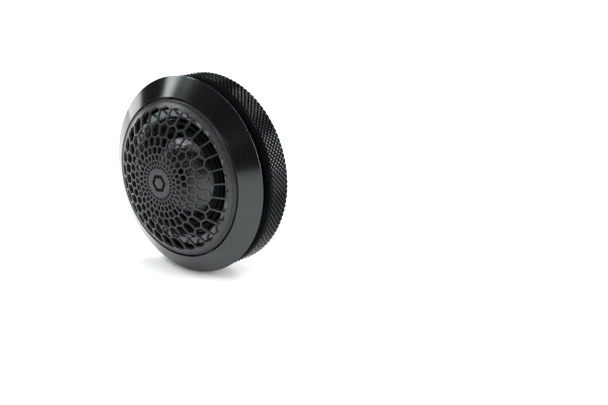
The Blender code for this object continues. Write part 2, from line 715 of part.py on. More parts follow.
def rear_cover(axis):
    outline = [
        (0, CAN_FLOOR_Z),
        (CAN_INNER_R, CAN_FLOOR_Z),
        (CAN_INNER_R, PLUG_TOP_Z),
        (PLUG_R, PLUG_TOP_Z),
        (PLUG_R, GROOVE_TOP_Z),
        (GROOVE_R, GROOVE_TOP_Z),
        (GROOVE_R, GROOVE_END_Z),
        (PLUG_R, GROOVE_END_Z),
        (PLUG_R, COVER_TOP_Z),
        (COVER_R, COVER_TOP_Z),
        (COVER_R, COVER_END_Z + COVER_CHAMFER),
        (COVER_R - COVER_CHAMFER, COVER_END_Z),
        (CAN_R, COVER_END_Z),
        (CAN_R, CAN_END_Z + COVER_CHAMFER),
        (CAN_R - COVER_CHAMFER, CAN_END_Z),
        (0, CAN_END_Z),
    ]
    cover = turned("rear_cover", outline, ABS, axis)
    for number, angle in enumerate(screw_angles(COVER_SCREW_COUNT, COVER_SCREW_START), start=1):
        centre = at_angle(COVER_SCREW_CIRCLE, angle, 0)
        name = f"cover_hole_cutter_{number}"
        top, end = COVER_TOP_Z + GAP, COVER_END_Z - GAP
        cut(cover, pin_cutter(name, COVER_SCREW_R + SCREW_PLAY, centre, top, end, axis))
    through_holes(cover, "cover", CAN_FLOOR_Z + GAP, CAN_END_Z - GAP, axis)

    turns = [2 * math.pi * i / SEAL_SECTION_SIDES for i in range(SEAL_SECTION_SIDES)]
    seal_z = (GROOVE_TOP_Z + GROOVE_END_Z) / 2
    section = [(SEAL_R + SEAL_SECTION_R * math.cos(a), seal_z + SEAL_SECTION_R * math.sin(a)) for a in turns]
    turned("rear_seal", section, RUBBER, axis)


def through_holes(target, name, top, end, axis):
    """The two blade slots and two rivet holes that the rear cover and the terminal board share."""
    middle = (top + end) / 2
    for side, width, sign in ((1, POSITIVE_WIDTH, "positive"), (-1, NEGATIVE_WIDTH, "negative")):
        size = (STEM_THICKNESS + 2 * GAP, width, top - end)
        cut(target, block(f"{name}_{sign}_slot_cutter", size, (side * BLADE_X, 0, middle), None, axis))
    for number, side in enumerate((-1, 1), start=1):
        centre = (0, side * RIVET_Y)
        cut(target, pin_cutter(f"{name}_rivet_cutter_{number}", RIVET_R + SCREW_PLAY, centre, top, end, axis))


def terminals(axis):
    board_size = (BOARD_WIDTH, BOARD_HEIGHT, BOARD_THICKNESS)
    board_centre = (0, 0, (BOARD_TOP_Z + BOARD_END_Z) / 2)
    board = block("terminal_board", board_size, board_centre, LAMINATE, axis)
    through_holes(board, "board", BOARD_TOP_Z + GAP, BOARD_END_Z - GAP, axis)

    for side, width, sign in ((1, POSITIVE_WIDTH, "positive"), (-1, NEGATIVE_WIDTH, "negative")):
        blade(f"terminal_{sign}", side * BLADE_X, width, axis)

    rivet_top = CAN_FLOOR_Z + GAP
    rivet_under = BOARD_END_Z - GAP
    for number, side in enumerate((-1, 1), start=1):
        outline = [
            (0, rivet_top + RIVET_HEAD),
            (RIVET_HEAD_R, rivet_top + RIVET_HEAD),
            (RIVET_HEAD_R, rivet_top),
            (RIVET_R, rivet_top),
            (RIVET_R, rivet_under),
            (RIVET_HEAD_R, rivet_under),
            (RIVET_HEAD_R - RIVET_HEAD / 2, rivet_under - RIVET_HEAD),
            (0, rivet_under - RIVET_HEAD),
        ]
        rivet = turned(f"terminal_rivet_{number}", outline, BRASS, axis, SMALL_SIDES)
        rivet.location = (0, side * RIVET_Y, 0)


def blade(name, x, width, axis):
    """A flat blade with a tapered tip and a locking hole, and a thinner stem that runs in through the board."""
    half = width / 2
    blade_top = BOARD_END_Z - GAP
    sides = [
        (half, blade_top),
        (half, BLADE_END_Z + BLADE_TIP),
        (half - BLADE_TIP, BLADE_END_Z),
        (BLADE_TIP - half, BLADE_END_Z),
        (-half, BLADE_END_Z + BLADE_TIP),
        (-half, blade_top),
    ]
    geometry = bmesh.new()
    outline = [geometry.verts.new((x - BLADE_THICKNESS / 2, y, z)) for y, z in sides]
    geometry.faces.new(outline)
    thicken(geometry, (BLADE_THICKNESS, 0, 0))
    plate = new_object(name, closed_mesh(name, geometry), TINNED, axis)
    stem_end = blade_top - STEM_THICKNESS
    stem_size = (STEM_THICKNESS, width - 2 * GAP, BLADE_INNER_Z - stem_end)
    join_to(plate, block(name + "_stem", stem_size, (x, 0, (BLADE_INNER_Z + stem_end) / 2), None, axis))
    reach = BLADE_THICKNESS
    hole = turned(name + "_hole_cutter", [(0, reach), (BLADE_HOLE_R, reach), (BLADE_HOLE_R, -reach), (0, -reach)],
                  None, axis, SMALL_SIDES)
    hole.rotation_euler = (0, math.radians(90), 0)
    hole.location = (x, 0, BLADE_HOLE_Z)
    cut(plate, hole)


def leads(axis):
    """A tag under the motor's flange on each side, and the wire from it to the blade behind."""
    tag_top = CUP_FLANGE_END_Z - GAP
    for side, sign, look in ((1, "positive", RED_WIRE), (-1, "negative", BLACK_WIRE)):
        size = (TAG_LENGTH, TAG_WIDTH, TAG_THICKNESS)
        centre = (side * TAG_RADIUS, 0, tag_top - TAG_THICKNESS / 2)
        block(f"lead_tag_{sign}", size, centre, BRASS, axis)
        start_z = tag_top - TAG_THICKNESS - GAP
        wire(f"lead_wire_{sign}", side, start_z, look, axis)


def wire(name, side, start_z, look, axis):
    """Back from the tag and beside the cup, a quarter turn inwards, then across to the blade's inner end."""
    turn_r = WIRE_TURN_Z - WIRE_LOW_Z
    route = [(TAG_RADIUS, start_z), (TAG_RADIUS, start_z - turn_r), (WIRE_RUN_R, start_z - 2 * turn_r)]
    for i in range(WIRE_STEPS):
        angle = (math.pi / 2) * i / (WIRE_STEPS - 1)
        route.append((WIRE_RUN_R - turn_r * (1 - math.cos(angle)), WIRE_TURN_Z - turn_r * math.sin(angle)))
    route.append((BLADE_X, WIRE_LOW_Z))
    curve = bpy.data.curves.new(name, "CURVE")
    curve.dimensions = "3D"
    curve.bevel_depth = WIRE_R
    curve.bevel_resolution = 2
    curve.use_fill_caps = True
    line = curve.splines.new("POLY")
    line.points.add(len(route) - 1)
    for point, (radius, z) in zip(line.points, route):
        point.co = (side * radius, 0, z, 1)
    curve.materials.append(finish(name + "_finish", *look))
    new_object(name, curve, None, axis)


def main():
    for old in list(bpy.data.objects):
        bpy.data.objects.remove(old, do_unlink=True)
    axis = bpy.data.objects.new("tweeter_axis", None)
    bpy.context.scene.collection.objects.link(axis)
    axis.rotation_euler = (math.radians(90), 0, 0)
    axis.location = (0, PANEL_Z, 0)

    bezel(axis)
    threaded_barrel(axis)
    grille(axis)
    gaskets(axis)
    clamp_parts(axis)
    faceplate(axis)
    surround_parts(axis)
    dome_diaphragm(axis)
    coil_parts(axis)
    motor(axis)
    screws(axis)
    rear_cover(axis)
    terminals(axis)
    leads(axis)


main()
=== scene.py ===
"""The looks of a flush-mount car tweeter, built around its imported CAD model.

Shapes are written in the tweeter's own frame: z runs along its axis towards the listener, and z = 0 is the
plane of the bezel's outer edge. to_world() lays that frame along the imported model's axis. Lengths are in
metres, written as millimetres times MM. An outline is a closed list of (r, z) points, turned about the axis.
"""

import math

import bmesh
import bpy
from mathutils import Matrix, Vector
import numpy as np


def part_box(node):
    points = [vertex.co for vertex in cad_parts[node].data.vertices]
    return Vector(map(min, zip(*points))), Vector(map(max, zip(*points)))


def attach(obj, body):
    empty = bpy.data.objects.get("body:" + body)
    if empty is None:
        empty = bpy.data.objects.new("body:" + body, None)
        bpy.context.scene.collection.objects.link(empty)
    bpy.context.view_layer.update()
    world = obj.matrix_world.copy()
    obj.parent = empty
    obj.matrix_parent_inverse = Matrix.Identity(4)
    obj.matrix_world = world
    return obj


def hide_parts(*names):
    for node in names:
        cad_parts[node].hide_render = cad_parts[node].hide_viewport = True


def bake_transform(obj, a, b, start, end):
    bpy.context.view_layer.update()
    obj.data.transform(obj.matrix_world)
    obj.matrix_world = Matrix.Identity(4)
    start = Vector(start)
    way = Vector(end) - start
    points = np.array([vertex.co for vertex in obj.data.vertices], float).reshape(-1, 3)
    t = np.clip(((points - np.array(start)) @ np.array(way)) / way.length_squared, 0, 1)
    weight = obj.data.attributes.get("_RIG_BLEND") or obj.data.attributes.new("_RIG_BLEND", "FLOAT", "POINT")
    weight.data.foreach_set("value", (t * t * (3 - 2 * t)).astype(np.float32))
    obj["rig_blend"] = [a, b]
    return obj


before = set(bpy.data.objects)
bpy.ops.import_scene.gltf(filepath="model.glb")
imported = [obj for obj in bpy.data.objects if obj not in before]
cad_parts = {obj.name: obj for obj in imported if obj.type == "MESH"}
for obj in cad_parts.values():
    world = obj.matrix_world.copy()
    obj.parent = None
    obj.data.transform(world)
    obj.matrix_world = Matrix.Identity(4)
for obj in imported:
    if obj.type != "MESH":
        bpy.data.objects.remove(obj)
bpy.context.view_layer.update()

MM = 0.001
TURN = 2 * math.pi

# Driving dimensions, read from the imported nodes
LOW = {name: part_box(name)[0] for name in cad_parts}
HIGH = {name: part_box(name)[1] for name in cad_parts}
RIM_THICKNESS = 0.5 * MM
EDGE_PLANE = HIGH["bezel"].y - RIM_THICKNESS  # the world's y where z = 0


def front_of(node):
    """z of a node's front."""
    return EDGE_PLANE - LOW[node].y


def rear_of(node):
    """z of a node's rear."""
    return EDGE_PLANE - HIGH[node].y


def radius_of(node):
    return HIGH[node].x


# Facets round the large turned pieces, and the small ones
COLUMNS = 240
SMALL_COLUMNS = 40
FILLET_STEPS = 4
FILLET_SHARE = 0.48  # most of a side that one fillet may take
FINE_FILLET = 0.05 * MM
SUPPORT = 0.12 * MM  # distance from a long side's end to the first point that supports it
SAME_PLACE = 1e-7  # points nearer than this are joined
NO_LENGTH = 1e-8
SAME_ANGLE = 1e-6
SLIVER = 1e-4  # angle between the two columns that make one wall

BEZEL_R = radius_of("bezel")
CONE_R = 23.95 * MM
CONE_CHAMFER = 0.25 * MM
CONE_Z = front_of("bezel")
SEAT_Z = 1.0 * MM
LIP_R = 20.9 * MM
RECESS_Z = 0.3 * MM
RECESS_R = 24.0 * MM
RIM_UNDERCUT = 0.4 * MM

BARREL_R = radius_of("threaded_barrel")
BORE_R = 22.3 * MM
SPIGOT_R = 23.7 * MM
BARREL_TOP_Z = -0.8 * MM
BARREL_END_Z = rear_of("threaded_barrel")
THREAD_PITCH = 1.5 * MM
THREAD_DEPTH = 0.6 * MM
THREAD_CLEARANCE = 0.12 * MM
THREAD_PROFILE = ((0.0, 0.0), (0.18, 1.0), (0.5, 1.0), (0.68, 0.0))  # place along the pitch, height
KEYWAY_ANGLE = 1.5 * math.pi
KEYWAY_WIDTH = 3.0 * MM
KEYWAY_DEPTH = 0.9 * MM

GRILLE_R = radius_of("grille")
GRILLE_APEX_Z = front_of("grille")
GRILLE_EDGE_Z = 3.9 * MM
GRILLE_POWER = 2.8
GRILLE_SHEET = 0.7 * MM
GRILLE_ROUND = 0.7 * MM
SKIRT_END_Z = rear_of("grille")
CELLS = 30
RINGS = 7
CELLS_OUTER_R = 21.7 * MM
FIRST_BOUNDARY_R = 17.25 * MM
RING_RATIO = 1.262
OUTER_ZIGZAG = 0.014
ZIGZAG = 0.027
WEB = 0.38 * MM
WEB_SHARE = 0.24  # a web's greatest width, as a part of its ring's
CELL_RIM_R = 22.3 * MM
HUB_RIM = 0.12 * MM
HUB_FLAT = 0.85  # as parts of the hub's radius, down to EMBLEM_SLOPE
HUB_CENTRE = 0.25
EMBLEM_OUTER = 0.74
EMBLEM_INNER = 0.46
EMBLEM_SLOPE = 0.03
EMBLEM_DEPTH = 0.35 * MM

CLAMP_R = radius_of("clamp_ring")
CLAMP_FRONT_Z = front_of("clamp_ring")
CLAMP_END_Z = rear_of("clamp_ring")
CLAMP_CHAMFER = 0.4 * MM
KNURL_STARTS = 120
KNURL_DEPTH = 0.33 * MM
KNURL_ROWS = 18  # four to a diamond
KNURL_COLUMNS = 4 * KNURL_STARTS
KNURL_SHARPNESS = math.radians(12)  # angle from which the knurl's edges are shaded sharp

WASHER_R = radius_of("clamp_washer")
WASHER_BORE_R = 25.3 * MM
WASHER_KEY_R = 24.4 * MM
WASHER_KEY_WIDTH = 2.4 * MM
PANEL_GASKET_BORE_R = 25.5 * MM
GRILLE_GASKET_BORE_R = 22.0 * MM

SCREW_SIDE = 0.45  # height of a screw head's side, as a part of the head's
SCREW_CROWN = 0.72  # flat top and cross, as parts of a screw head's radius
SCREW_CROSS = 0.62
CROSS_TAPER = 0.55  # reach of the cross's inner end, as a part of its mouth's
RIVET_CROWN = 0.85  # flat top, as a part of a rivet head's radius


# Meshes

def to_world(mesh):
    """Lays a mesh made in the tweeter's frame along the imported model's axis."""
    mesh.transform(Matrix.Translation((0, EDGE_PLANE, 0)) @ Matrix.Rotation(math.pi / 2, 4, "X"))


def shown(name, mesh, material):
    """An object for a finished mesh, in its place in the world."""
    to_world(mesh)
    mesh.shade_smooth()
    made = bpy.data.objects.new(name, mesh)
    bpy.context.scene.collection.objects.link(made)
    mesh.materials.append(material)
    soften(made)
    return made


def piece(name, mesh, material, body, nodes):
    """Puts a finished mesh on its body, in place of the CAD nodes that it stands for."""
    made = shown(name, mesh, material)
    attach(made, body)
    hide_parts(*nodes)
    return made


def soften(made, bevel=0.0, angle=35):
    """Rounds an object's sharp edges a little, and keeps its flats flat in shading."""
    if bevel > 0:
        rounding = made.modifiers.new("edge_rounding", "BEVEL")
        rounding.width = bevel
        rounding.segments = 2
        rounding.limit_method = "ANGLE"
        rounding.angle_limit = math.radians(angle)
    normals = made.modifiers.new("flat_shading", "WEIGHTED_NORMAL")
    normals.weight = 60


def rounded(outline, radius):
    """An outline with its corners filleted. radius is one value, or one for each corner."""
    count = len(outline)
    radii = radius if isinstance(radius, (list, tuple)) else [radius] * count
    points = []
    for i, corner in enumerate(outline):
        here = Vector(corner)
        before = Vector(outline[i - 1]) - here
        after = Vector(outline[(i + 1) % count]) - here
        if radii[i] <= 0:
            points.append(tuple(here))
            continue
        half = before.angle(after) / 2
        reach = min(radii[i] / math.tan(half), FILLET_SHARE * before.length, FILLET_SHARE * after.length)
        fillet = reach * math.tan(half)
        middle = (before.normalized() + after.normalized()).normalized() * (fillet / math.sin(half)) + here
        start = here + before.normalized() * reach - middle
        end = here + after.normalized() * reach - middle
        sweep = start.angle_signed(end)
        for k in range(FILLET_STEPS + 1):
            points.append(tuple(middle + Matrix.Rotation(-sweep * k / FILLET_STEPS, 2) @ start))
    return points


def rows_mesh(name, rows, angles, split=None):
    """A closed surface through rows of (r, z) points, one point for each angle in every row.

    split(row, column) tells how a square is cut in two: 0 not at all, 1 or 2 along one diagonal or the other.
    """
    count = len(angles)
    points = []
    for row in rows:
        for (r, z), angle in zip(row, angles):
            points.append((r * math.cos(angle), r * math.sin(angle), z))
    faces = []
    for a in range(len(rows)):
        b = (a + 1) % len(rows)
        for i in range(count):
            j = (i + 1) % count
            square = (a * count + i, a * count + j, b * count + j, b * count + i)
            way = split(a, i) if split else 0
            if way == 0:
                faces.append(square)
            elif way == 1:
                faces.append((square[0], square[1], square[2]))
                faces.append((square[0], square[2], square[3]))
            else:
                faces.append((square[0], square[1], square[3]))
                faces.append((square[1], square[2], square[3]))
    mesh = bpy.data.meshes.new(name)
    mesh.from_pydata(points, [], faces)
    return tidied(mesh)


def tidied(mesh):
    """Joins the points that fall together on the axis or at an end, and turns every face outwards."""
    geometry = bmesh.new()
    geometry.from_mesh(mesh)
    bmesh.ops.remove_doubles(geometry, verts=geometry.verts, dist=SAME_PLACE)
    bmesh.ops.dissolve_degenerate(geometry, edges=geometry.edges, dist=NO_LENGTH)
    bmesh.ops.recalc_face_normals(geometry, faces=geometry.faces)
    geometry.to_mesh(mesh)
    geometry.free()
    return mesh


def even_angles(columns):
    return [TURN * i / columns for i in range(columns)]


def supported(outline):
    """Adds points near both ends of an outline's long sides, so that the lightening of sharp edges stays at
    the edges.
    """
    points = []
    for i, corner in enumerate(outline):
        here, following = Vector(corner), Vector(outline[(i + 1) % len(outline)])
        points.append(corner)
        length = (following - here).length
        if length < 6 * SUPPORT:
            continue
        for reach in (SUPPORT, 2.5 * SUPPORT, length - 2.5 * SUPPORT, length - SUPPORT):
            points.append(tuple(here.lerp(following, reach / length)))
    return points


def turned(name, outline, columns=COLUMNS):
    """An outline turned about the axis."""
    angles = even_angles(columns)
    return rows_mesh(name, [[point] * columns for point in supported(outline)], angles)


def ring(inner, outer, top, bottom, fillet):
    """The outline of a flat ring, its edges rounded."""
    return rounded([(inner, top), (outer, top), (outer, bottom), (inner, bottom)], fillet)


def thread_rows(root, crest, top, end, angles, runout):
    """Rows down a right-hand thread. crest is above or below root for an outside or an inside thread.

    Every row jumps by one pitch at the keyway's angle, where the barrel has no thread left to show it.
    """
    turns = int((top - end) / THREAD_PITCH) + 2
    rows = [[(root, top)] * len(angles)]
    for k in range(turns + 1):
        for place, height in THREAD_PROFILE:
            row = []
            for angle in angles:
                z = top - (k + place - ((angle - KEYWAY_ANGLE) % TURN) / TURN) * THREAD_PITCH
                z = min(top, max(end, z))
                fade = min(1.0, (top - z) / runout, (z - end) / runout)
                row.append((root + (crest - root) * height * fade, z))
            rows.append(row)
    rows.append([(root, end)] * len(angles))
    return rows


# Materials

COOL = (0.88, 1.0, 0.99, 1.0)  # tint of the black finishes' reflections
WEAR_AND_GLINT_POINTINESS = (0.52, 0.60)  # pointiness where the edge lightening starts, and where it is full: rubbed edges, and a painted highlight on the knurl's tips
TURNING_MARKS = 0.05 * MM
TURNING_DEPTH = 0.4e-6
POLISHING_MARKS = 0.06 * MM
POLISHING_DEPTH = 0.8e-6
WIRE = 0.16 * MM  # pitch of the coil's turns, and of the dome's threads


def grey(tone):
    return (tone, tone, tone)


def socket_values(shader, values):
    for name, value in values.items():
        shader.inputs[name].default_value = value


class Finish:
    """A Principled material and the few node patterns that its detail is made from."""

    def __init__(self, name, roughness, metallic=0.0, **values):
        self.material = bpy.data.materials.new(name)
        self.material.use_nodes = True
        self.tree = self.material.node_tree
        self.shader = self.tree.nodes["Principled BSDF"]
        socket_values(self.shader, {"Roughness": roughness, "Metallic": metallic})
        socket_values(self.shader, values)
        self.place = self.node("ShaderNodeTexCoord").outputs["Object"]
        self.height = None

    def node(self, kind, **settings):
        made = self.tree.nodes.new(kind)
        for key, value in settings.items():
            setattr(made, key, value)
        return made

    def link(self, source, target):
        self.tree.links.new(source, target)

    def maths(self, operation, *values):
        made = self.node("ShaderNodeMath", operation=operation)
        for socket, value in zip(made.inputs, values):
            if isinstance(value, (int, float)):
                socket.default_value = value
            else:
                self.link(value, socket)
        return made.outputs[0]

    def coordinates(self):
        """The object's X and Z across the tweeter's axis, and its Y along it."""
        parts = self.node("ShaderNodeSeparateXYZ")
        self.link(self.place, parts.inputs[0])
        return parts.outputs

    def from_axis(self):
        parts = self.coordinates()
        across = self.maths("MULTIPLY", parts["X"], parts["X"])
        up = self.maths("MULTIPLY", parts["Z"], parts["Z"])
        return self.maths("SQRT", self.maths("ADD", across, up))

    def waves(self, coordinate, length):
        return self.maths("SINE", self.maths("MULTIPLY", coordinate, TURN / length))

    def noise(self, size, detail=3.0):
        """Noise whose features are about this size."""
        made = self.node("ShaderNodeTexNoise")
        socket_values(made, {"Scale": 1 / size, "Detail": detail})
        self.link(self.place, made.inputs["Vector"])
        return made.outputs["Fac"]

    def lines(self, coordinate, size):
        """Irregular fine lines across one coordinate."""
        made = self.node("ShaderNodeTexNoise", noise_dimensions="1D")
        socket_values(made, {"Scale": 1 / size, "Detail": 4.0})
        self.link(coordinate, made.inputs["W"])
        return made.outputs["Fac"]

    def cells(self, size):
        made = self.node("ShaderNodeTexVoronoi")
        socket_values(made, {"Scale": 1 / size})
        self.link(self.place, made.inputs["Vector"])
        return made.outputs["Distance"]

    def spread(self, value, low, high, start=0.3, end=0.7):
        """Takes a pattern's start..end to low..high."""
        made = self.node("ShaderNodeMapRange")
        socket_values(made, {"From Min": start, "From Max": end, "To Min": low, "To Max": high})
        self.link(value, made.inputs["Value"])
        return made.outputs[0]

    def colour(self, value, first, second):
        """Base colour from one tone to another as a 0..1 value grows."""
        made = self.node("ShaderNodeMix", data_type="RGBA")
        made.inputs["A"].default_value = (*first, 1)
        made.inputs["B"].default_value = (*second, 1)
        self.link(value, made.inputs["Factor"])
        self.link(made.outputs["Result"], self.shader.inputs["Base Color"])
        return made

    def wear_and_glint(self, below, amount, tone):
        """Lightens the sharpest edges a little over the colour made so far: rubbed edges, and on the knurl's
        diamond tips a painted highlight.
        """
        sharp = self.node("ShaderNodeNewGeometry").outputs["Pointiness"]
        share = self.spread(sharp, 0.0, amount, *WEAR_AND_GLINT_POINTINESS)
        made = self.node("ShaderNodeMix", data_type="RGBA")
        self.link(below.outputs["Result"], made.inputs["A"])
        made.inputs["B"].default_value = (*tone, 1)
        self.link(share, made.inputs["Factor"])
        self.link(made.outputs["Result"], self.shader.inputs["Base Color"])

    def roughness(self, value, low, high):
        self.link(self.spread(value, low, high), self.shader.inputs["Roughness"])

    def bump(self, value, depth):
        """Adds a pattern to the surface's height. depth is the height of a full step, in metres."""
        made = self.node("ShaderNodeBump")
        socket_values(made, {"Distance": depth})
        self.link(value, made.inputs["Height"])
        if self.height is not None:
            self.link(self.height, made.inputs["Normal"])
        self.height = made.outputs["Normal"]
        self.link(self.height, self.shader.inputs["Normal"])

    def turned_grain(self, amount):
        """Stretches highlights across the turning marks, which run round the axis."""
        tangent = self.node("ShaderNodeTangent", direction_type="RADIAL", axis="Y")
        socket_values(self.shader, {"Anisotropic": amount, "Anisotropic Rotation": 0.25})
        self.link(tangent.outputs[0], self.shader.inputs["Tangent"])


def turned_black(name, dark, light, roughness, grain, ior=1.65, wear_and_glint_amount=0.35):
    """Black anodised aluminium with fine turning marks, its sharp edges lightened as if rubbed and, on the
    knurl, as a painted highlight.
    """
    made = Finish(name, roughness, IOR=ior)
    socket_values(made.shader, {"Specular Tint": COOL})
    mottle = made.noise(1.6 * MM)
    below = made.colour(made.spread(mottle, 0, 1), dark, light)
    made.wear_and_glint(below, wear_and_glint_amount, (0.10, 0.105, 0.105))
    marks = made.lines(made.from_axis(), TURNING_MARKS)
    made.roughness(marks, roughness * 0.9, roughness * 1.15)
    made.bump(marks, TURNING_DEPTH)
    made.turned_grain(grain)
    return made.material


def satin_black(name, dark, light, roughness, ior):
    """Baked satin paint on pressed sheet."""
    made = Finish(name, roughness, IOR=ior)
    socket_values(made.shader, {"Specular Tint": COOL})
    below = made.colour(made.spread(made.noise(2.2 * MM), 0, 1), dark, light)
    made.wear_and_glint(below, 0.2, (0.09, 0.095, 0.095))
    grain = made.noise(0.09 * MM, detail=2.0)
    made.roughness(grain, roughness * 0.9, roughness * 1.12)
    made.bump(grain, 1.2e-6)
    return made.material


def soft_black(name, dark, light, roughness, grain, depth, **values):
    """Rubber, foam or felt: matte, with a grain of one size."""
    made = Finish(name, roughness, **values)
    made.colour(made.spread(made.noise(grain * 12), 0, 1), dark, light)
    pores = made.cells(grain)
    made.roughness(pores, roughness * 0.92, min(1.0, roughness * 1.08))
    made.bump(pores, depth)
    return made.material


def moulded(name, dark, light, roughness, grain, depth, ior=1.5):
    """Moulded plastic with a fine spark-eroded texture."""
    made = Finish(name, roughness, IOR=ior)
    made.colour(made.spread(made.noise(3 * MM), 0, 1), dark, light)
    texture = made.noise(grain, detail=4.0)
    made.roughness(texture, roughness * 0.85, roughness * 1.15)
    made.bump(texture, depth)
    return made.material


def bare_metal(name, dark, light, roughness, grain=0.5, along=False):
    """Plated or bare metal with marks round the axis, or one after another along it."""
    made = Finish(name, roughness, metallic=1.0)
    below = made.colour(made.spread(made.noise(1.2 * MM), 0, 1), dark, light)
    made.wear_and_glint(below, 0.4, tuple(min(1.0, tone * 1.3) for tone in light))
    marks = made.lines(made.coordinates()["Y"] if along else made.from_axis(), POLISHING_MARKS)
    made.roughness(marks, roughness * 0.8, roughness * 1.25)
    made.bump(marks, POLISHING_DEPTH)
    if not along:
        made.turned_grain(grain)
    return made.material


def dome_cloth(name):
    """Coated silk: a fine weave under a damping coat."""
    made = Finish(name, 0.16, IOR=1.7)
    socket_values(made.shader, {"Specular Tint": (0.97, 0.95, 1.0, 1.0)})
    made.colour(made.spread(made.noise(2.5 * MM), 0, 1), (0.0020, 0.0019, 0.0024), (0.0045, 0.0042, 0.0055))
    parts = made.coordinates()
    weave = made.maths("MULTIPLY", made.waves(parts["X"], WIRE), made.waves(parts["Z"], WIRE))
    made.roughness(made.noise(0.8 * MM), 0.12, 0.20)
    made.bump(weave, 5e-6)
    made.bump(made.noise(1.5 * MM), 190e-6)
    return made.material


def winding(name):
    """Enamelled copper wire wound close round the former."""
    made = Finish(name, 0.28, metallic=1.0)
    made.colour(made.spread(made.noise(0.6 * MM), 0, 1), (0.62, 0.25, 0.11), (0.85, 0.40, 0.20))
    made.roughness(made.noise(0.4 * MM), 0.2, 0.38)
    made.bump(made.waves(made.coordinates()["Y"], WIRE), 20e-6)
    return made.material


SATIN_TONES = ((0.010, 0.011, 0.011), (0.016, 0.017, 0.017))
MATERIALS = {
    "bezel": turned_black(
        "bezel_anodised", (0.0016, 0.0020, 0.0026), (0.0030, 0.0036, 0.0040), 0.17, 0.50, ior=1.60),
    "barrel": turned_black(
        "barrel_anodised", (0.0010, 0.0010, 0.0011), (0.0022, 0.0022, 0.0024), 0.35, 0.4, ior=1.3),
    # The clamp ring's stronger edge lightening is partly rubbed edges and partly a painted highlight on the
    # knurl's diamond tips, standing in for their glints.
    "clamp": turned_black(
        "clamp_anodised_tip_glint", (0.0012, 0.0013, 0.0014), (0.0026, 0.0027, 0.0028), 0.18, 0.0, ior=1.2, wear_and_glint_amount=0.4),
    "retaining": turned_black("retaining_anodised", (0.010, 0.010, 0.011), (0.016, 0.016, 0.018), 0.3, 0.5),
    "grille": satin_black("grille_satin", *SATIN_TONES, 0.32, ior=1.41),
    # The emblem groove's near-black, dull finish is painted shade, standing in for the dark inside
    # cut-through letters.
    "emblem": moulded("emblem_groove_shade", grey(0.0015), grey(0.003), 0.6, 0.1 * MM, 2e-6, ior=1.2),
    "faceplate": satin_black("faceplate_satin", *SATIN_TONES, 0.12, ior=1.85),
    "gloss": moulded("gloss_ring", grey(0.002), grey(0.004), 0.3, 0.4 * MM, 1.5e-6, ior=1.15),
    "rubber": soft_black("gasket_rubber", grey(0.004), grey(0.008), 0.7, 0.12 * MM, 8e-6),
    "surround": soft_black("surround_rubber", grey(0.002), grey(0.004), 0.5, 0.10 * MM, 3e-6, IOR=1.15),
    "foam": soft_black("gasket_foam", grey(0.0015), grey(0.004), 0.95, 0.22 * MM, 60e-6, IOR=1.15),
    "nylon": moulded("washer_nylon", grey(0.0015), grey(0.003), 0.6, 0.12 * MM, 4e-6, ior=1.1),
    "abs": moulded("cover_abs", (0.014, 0.014, 0.015), (0.022, 0.022, 0.023), 0.42, 0.15 * MM, 10e-6),
    "laminate": moulded("board_laminate", (0.10, 0.045, 0.014), (0.16, 0.075, 0.025), 0.42, 0.25 * MM, 4e-6),
    "dome": dome_cloth("dome_silk"),
    "former": bare_metal("former_aluminium", (0.62, 0.62, 0.63), (0.78, 0.78, 0.79), 0.3, along=True),
    "copper": winding("coil_copper"),
    "nickel": bare_metal("cup_nickel", (0.58, 0.56, 0.52), (0.70, 0.68, 0.64), 0.2),
    "magnet": bare_metal("magnet_nickel", (0.60, 0.59, 0.56), (0.70, 0.69, 0.66), 0.14, grain=0.1),
    "steel": bare_metal("pole_steel", (0.45, 0.45, 0.46), (0.60, 0.60, 0.62), 0.28),
    "screw": bare_metal("screw_zinc", (0.50, 0.50, 0.51), (0.66, 0.66, 0.68), 0.26, grain=0.2),
    "felt": soft_black("pad_felt", (0.16, 0.16, 0.17), (0.28, 0.28, 0.29), 0.95, 0.3 * MM, 120e-6),
    "tinned": bare_metal("blade_tinned", (0.60, 0.59, 0.57), (0.76, 0.75, 0.73), 0.26, along=True),
    "brass": bare_metal("plain_brass", (0.62, 0.44, 0.18), (0.78, 0.58, 0.27), 0.25, along=True),
    "wire_red": moulded("wire_red_pvc", (0.36, 0.012, 0.012), (0.48, 0.02, 0.02), 0.35, 0.3 * MM, 4e-6),
    "wire_black": moulded("wire_black_pvc", grey(0.010), grey(0.016), 0.35, 0.3 * MM, 4e-6),
}


# Bezel, barrel and clamp

def bezel():
    outline = [
        (BEZEL_R, 0),
        (CONE_R + CONE_CHAMFER, CONE_Z),
        (CONE_R, CONE_Z - CONE_CHAMFER),
        (CONE_R, SEAT_Z),
        (LIP_R, SEAT_Z),
        (LIP_R, RECESS_Z),
        (RECESS_R, RECESS_Z),
        (RECESS_R, -RIM_THICKNESS),
        (BEZEL_R - RIM_UNDERCUT, -RIM_THICKNESS),
    ]
    radii = [0.10 * MM, 0.04 * MM] + [FINE_FILLET] * 6 + [0.12 * MM]
    mesh = turned("bezel_turned", rounded(outline, radii))
    piece("bezel_turned", mesh, MATERIALS["bezel"], "housing", ["bezel"])


def walled_columns(half, steps):
    """Angles round the axis, doubled at two walls that stand half to each side of the keyway's middle, and
    which of them are between the walls. steps is the number of steps from one wall to the other."""
    between = [KEYWAY_ANGLE + half * (2 * k / steps - 1) for k in range(steps + 1)]
    plain = [a for a in even_angles(COLUMNS) if abs(a - KEYWAY_ANGLE) > half + 2 * SLIVER]
    angles = sorted(plain + between + [KEYWAY_ANGLE - half - SLIVER, KEYWAY_ANGLE + half + SLIVER])
    return angles, [abs(a - KEYWAY_ANGLE) <= half + SLIVER / 2 for a in angles]


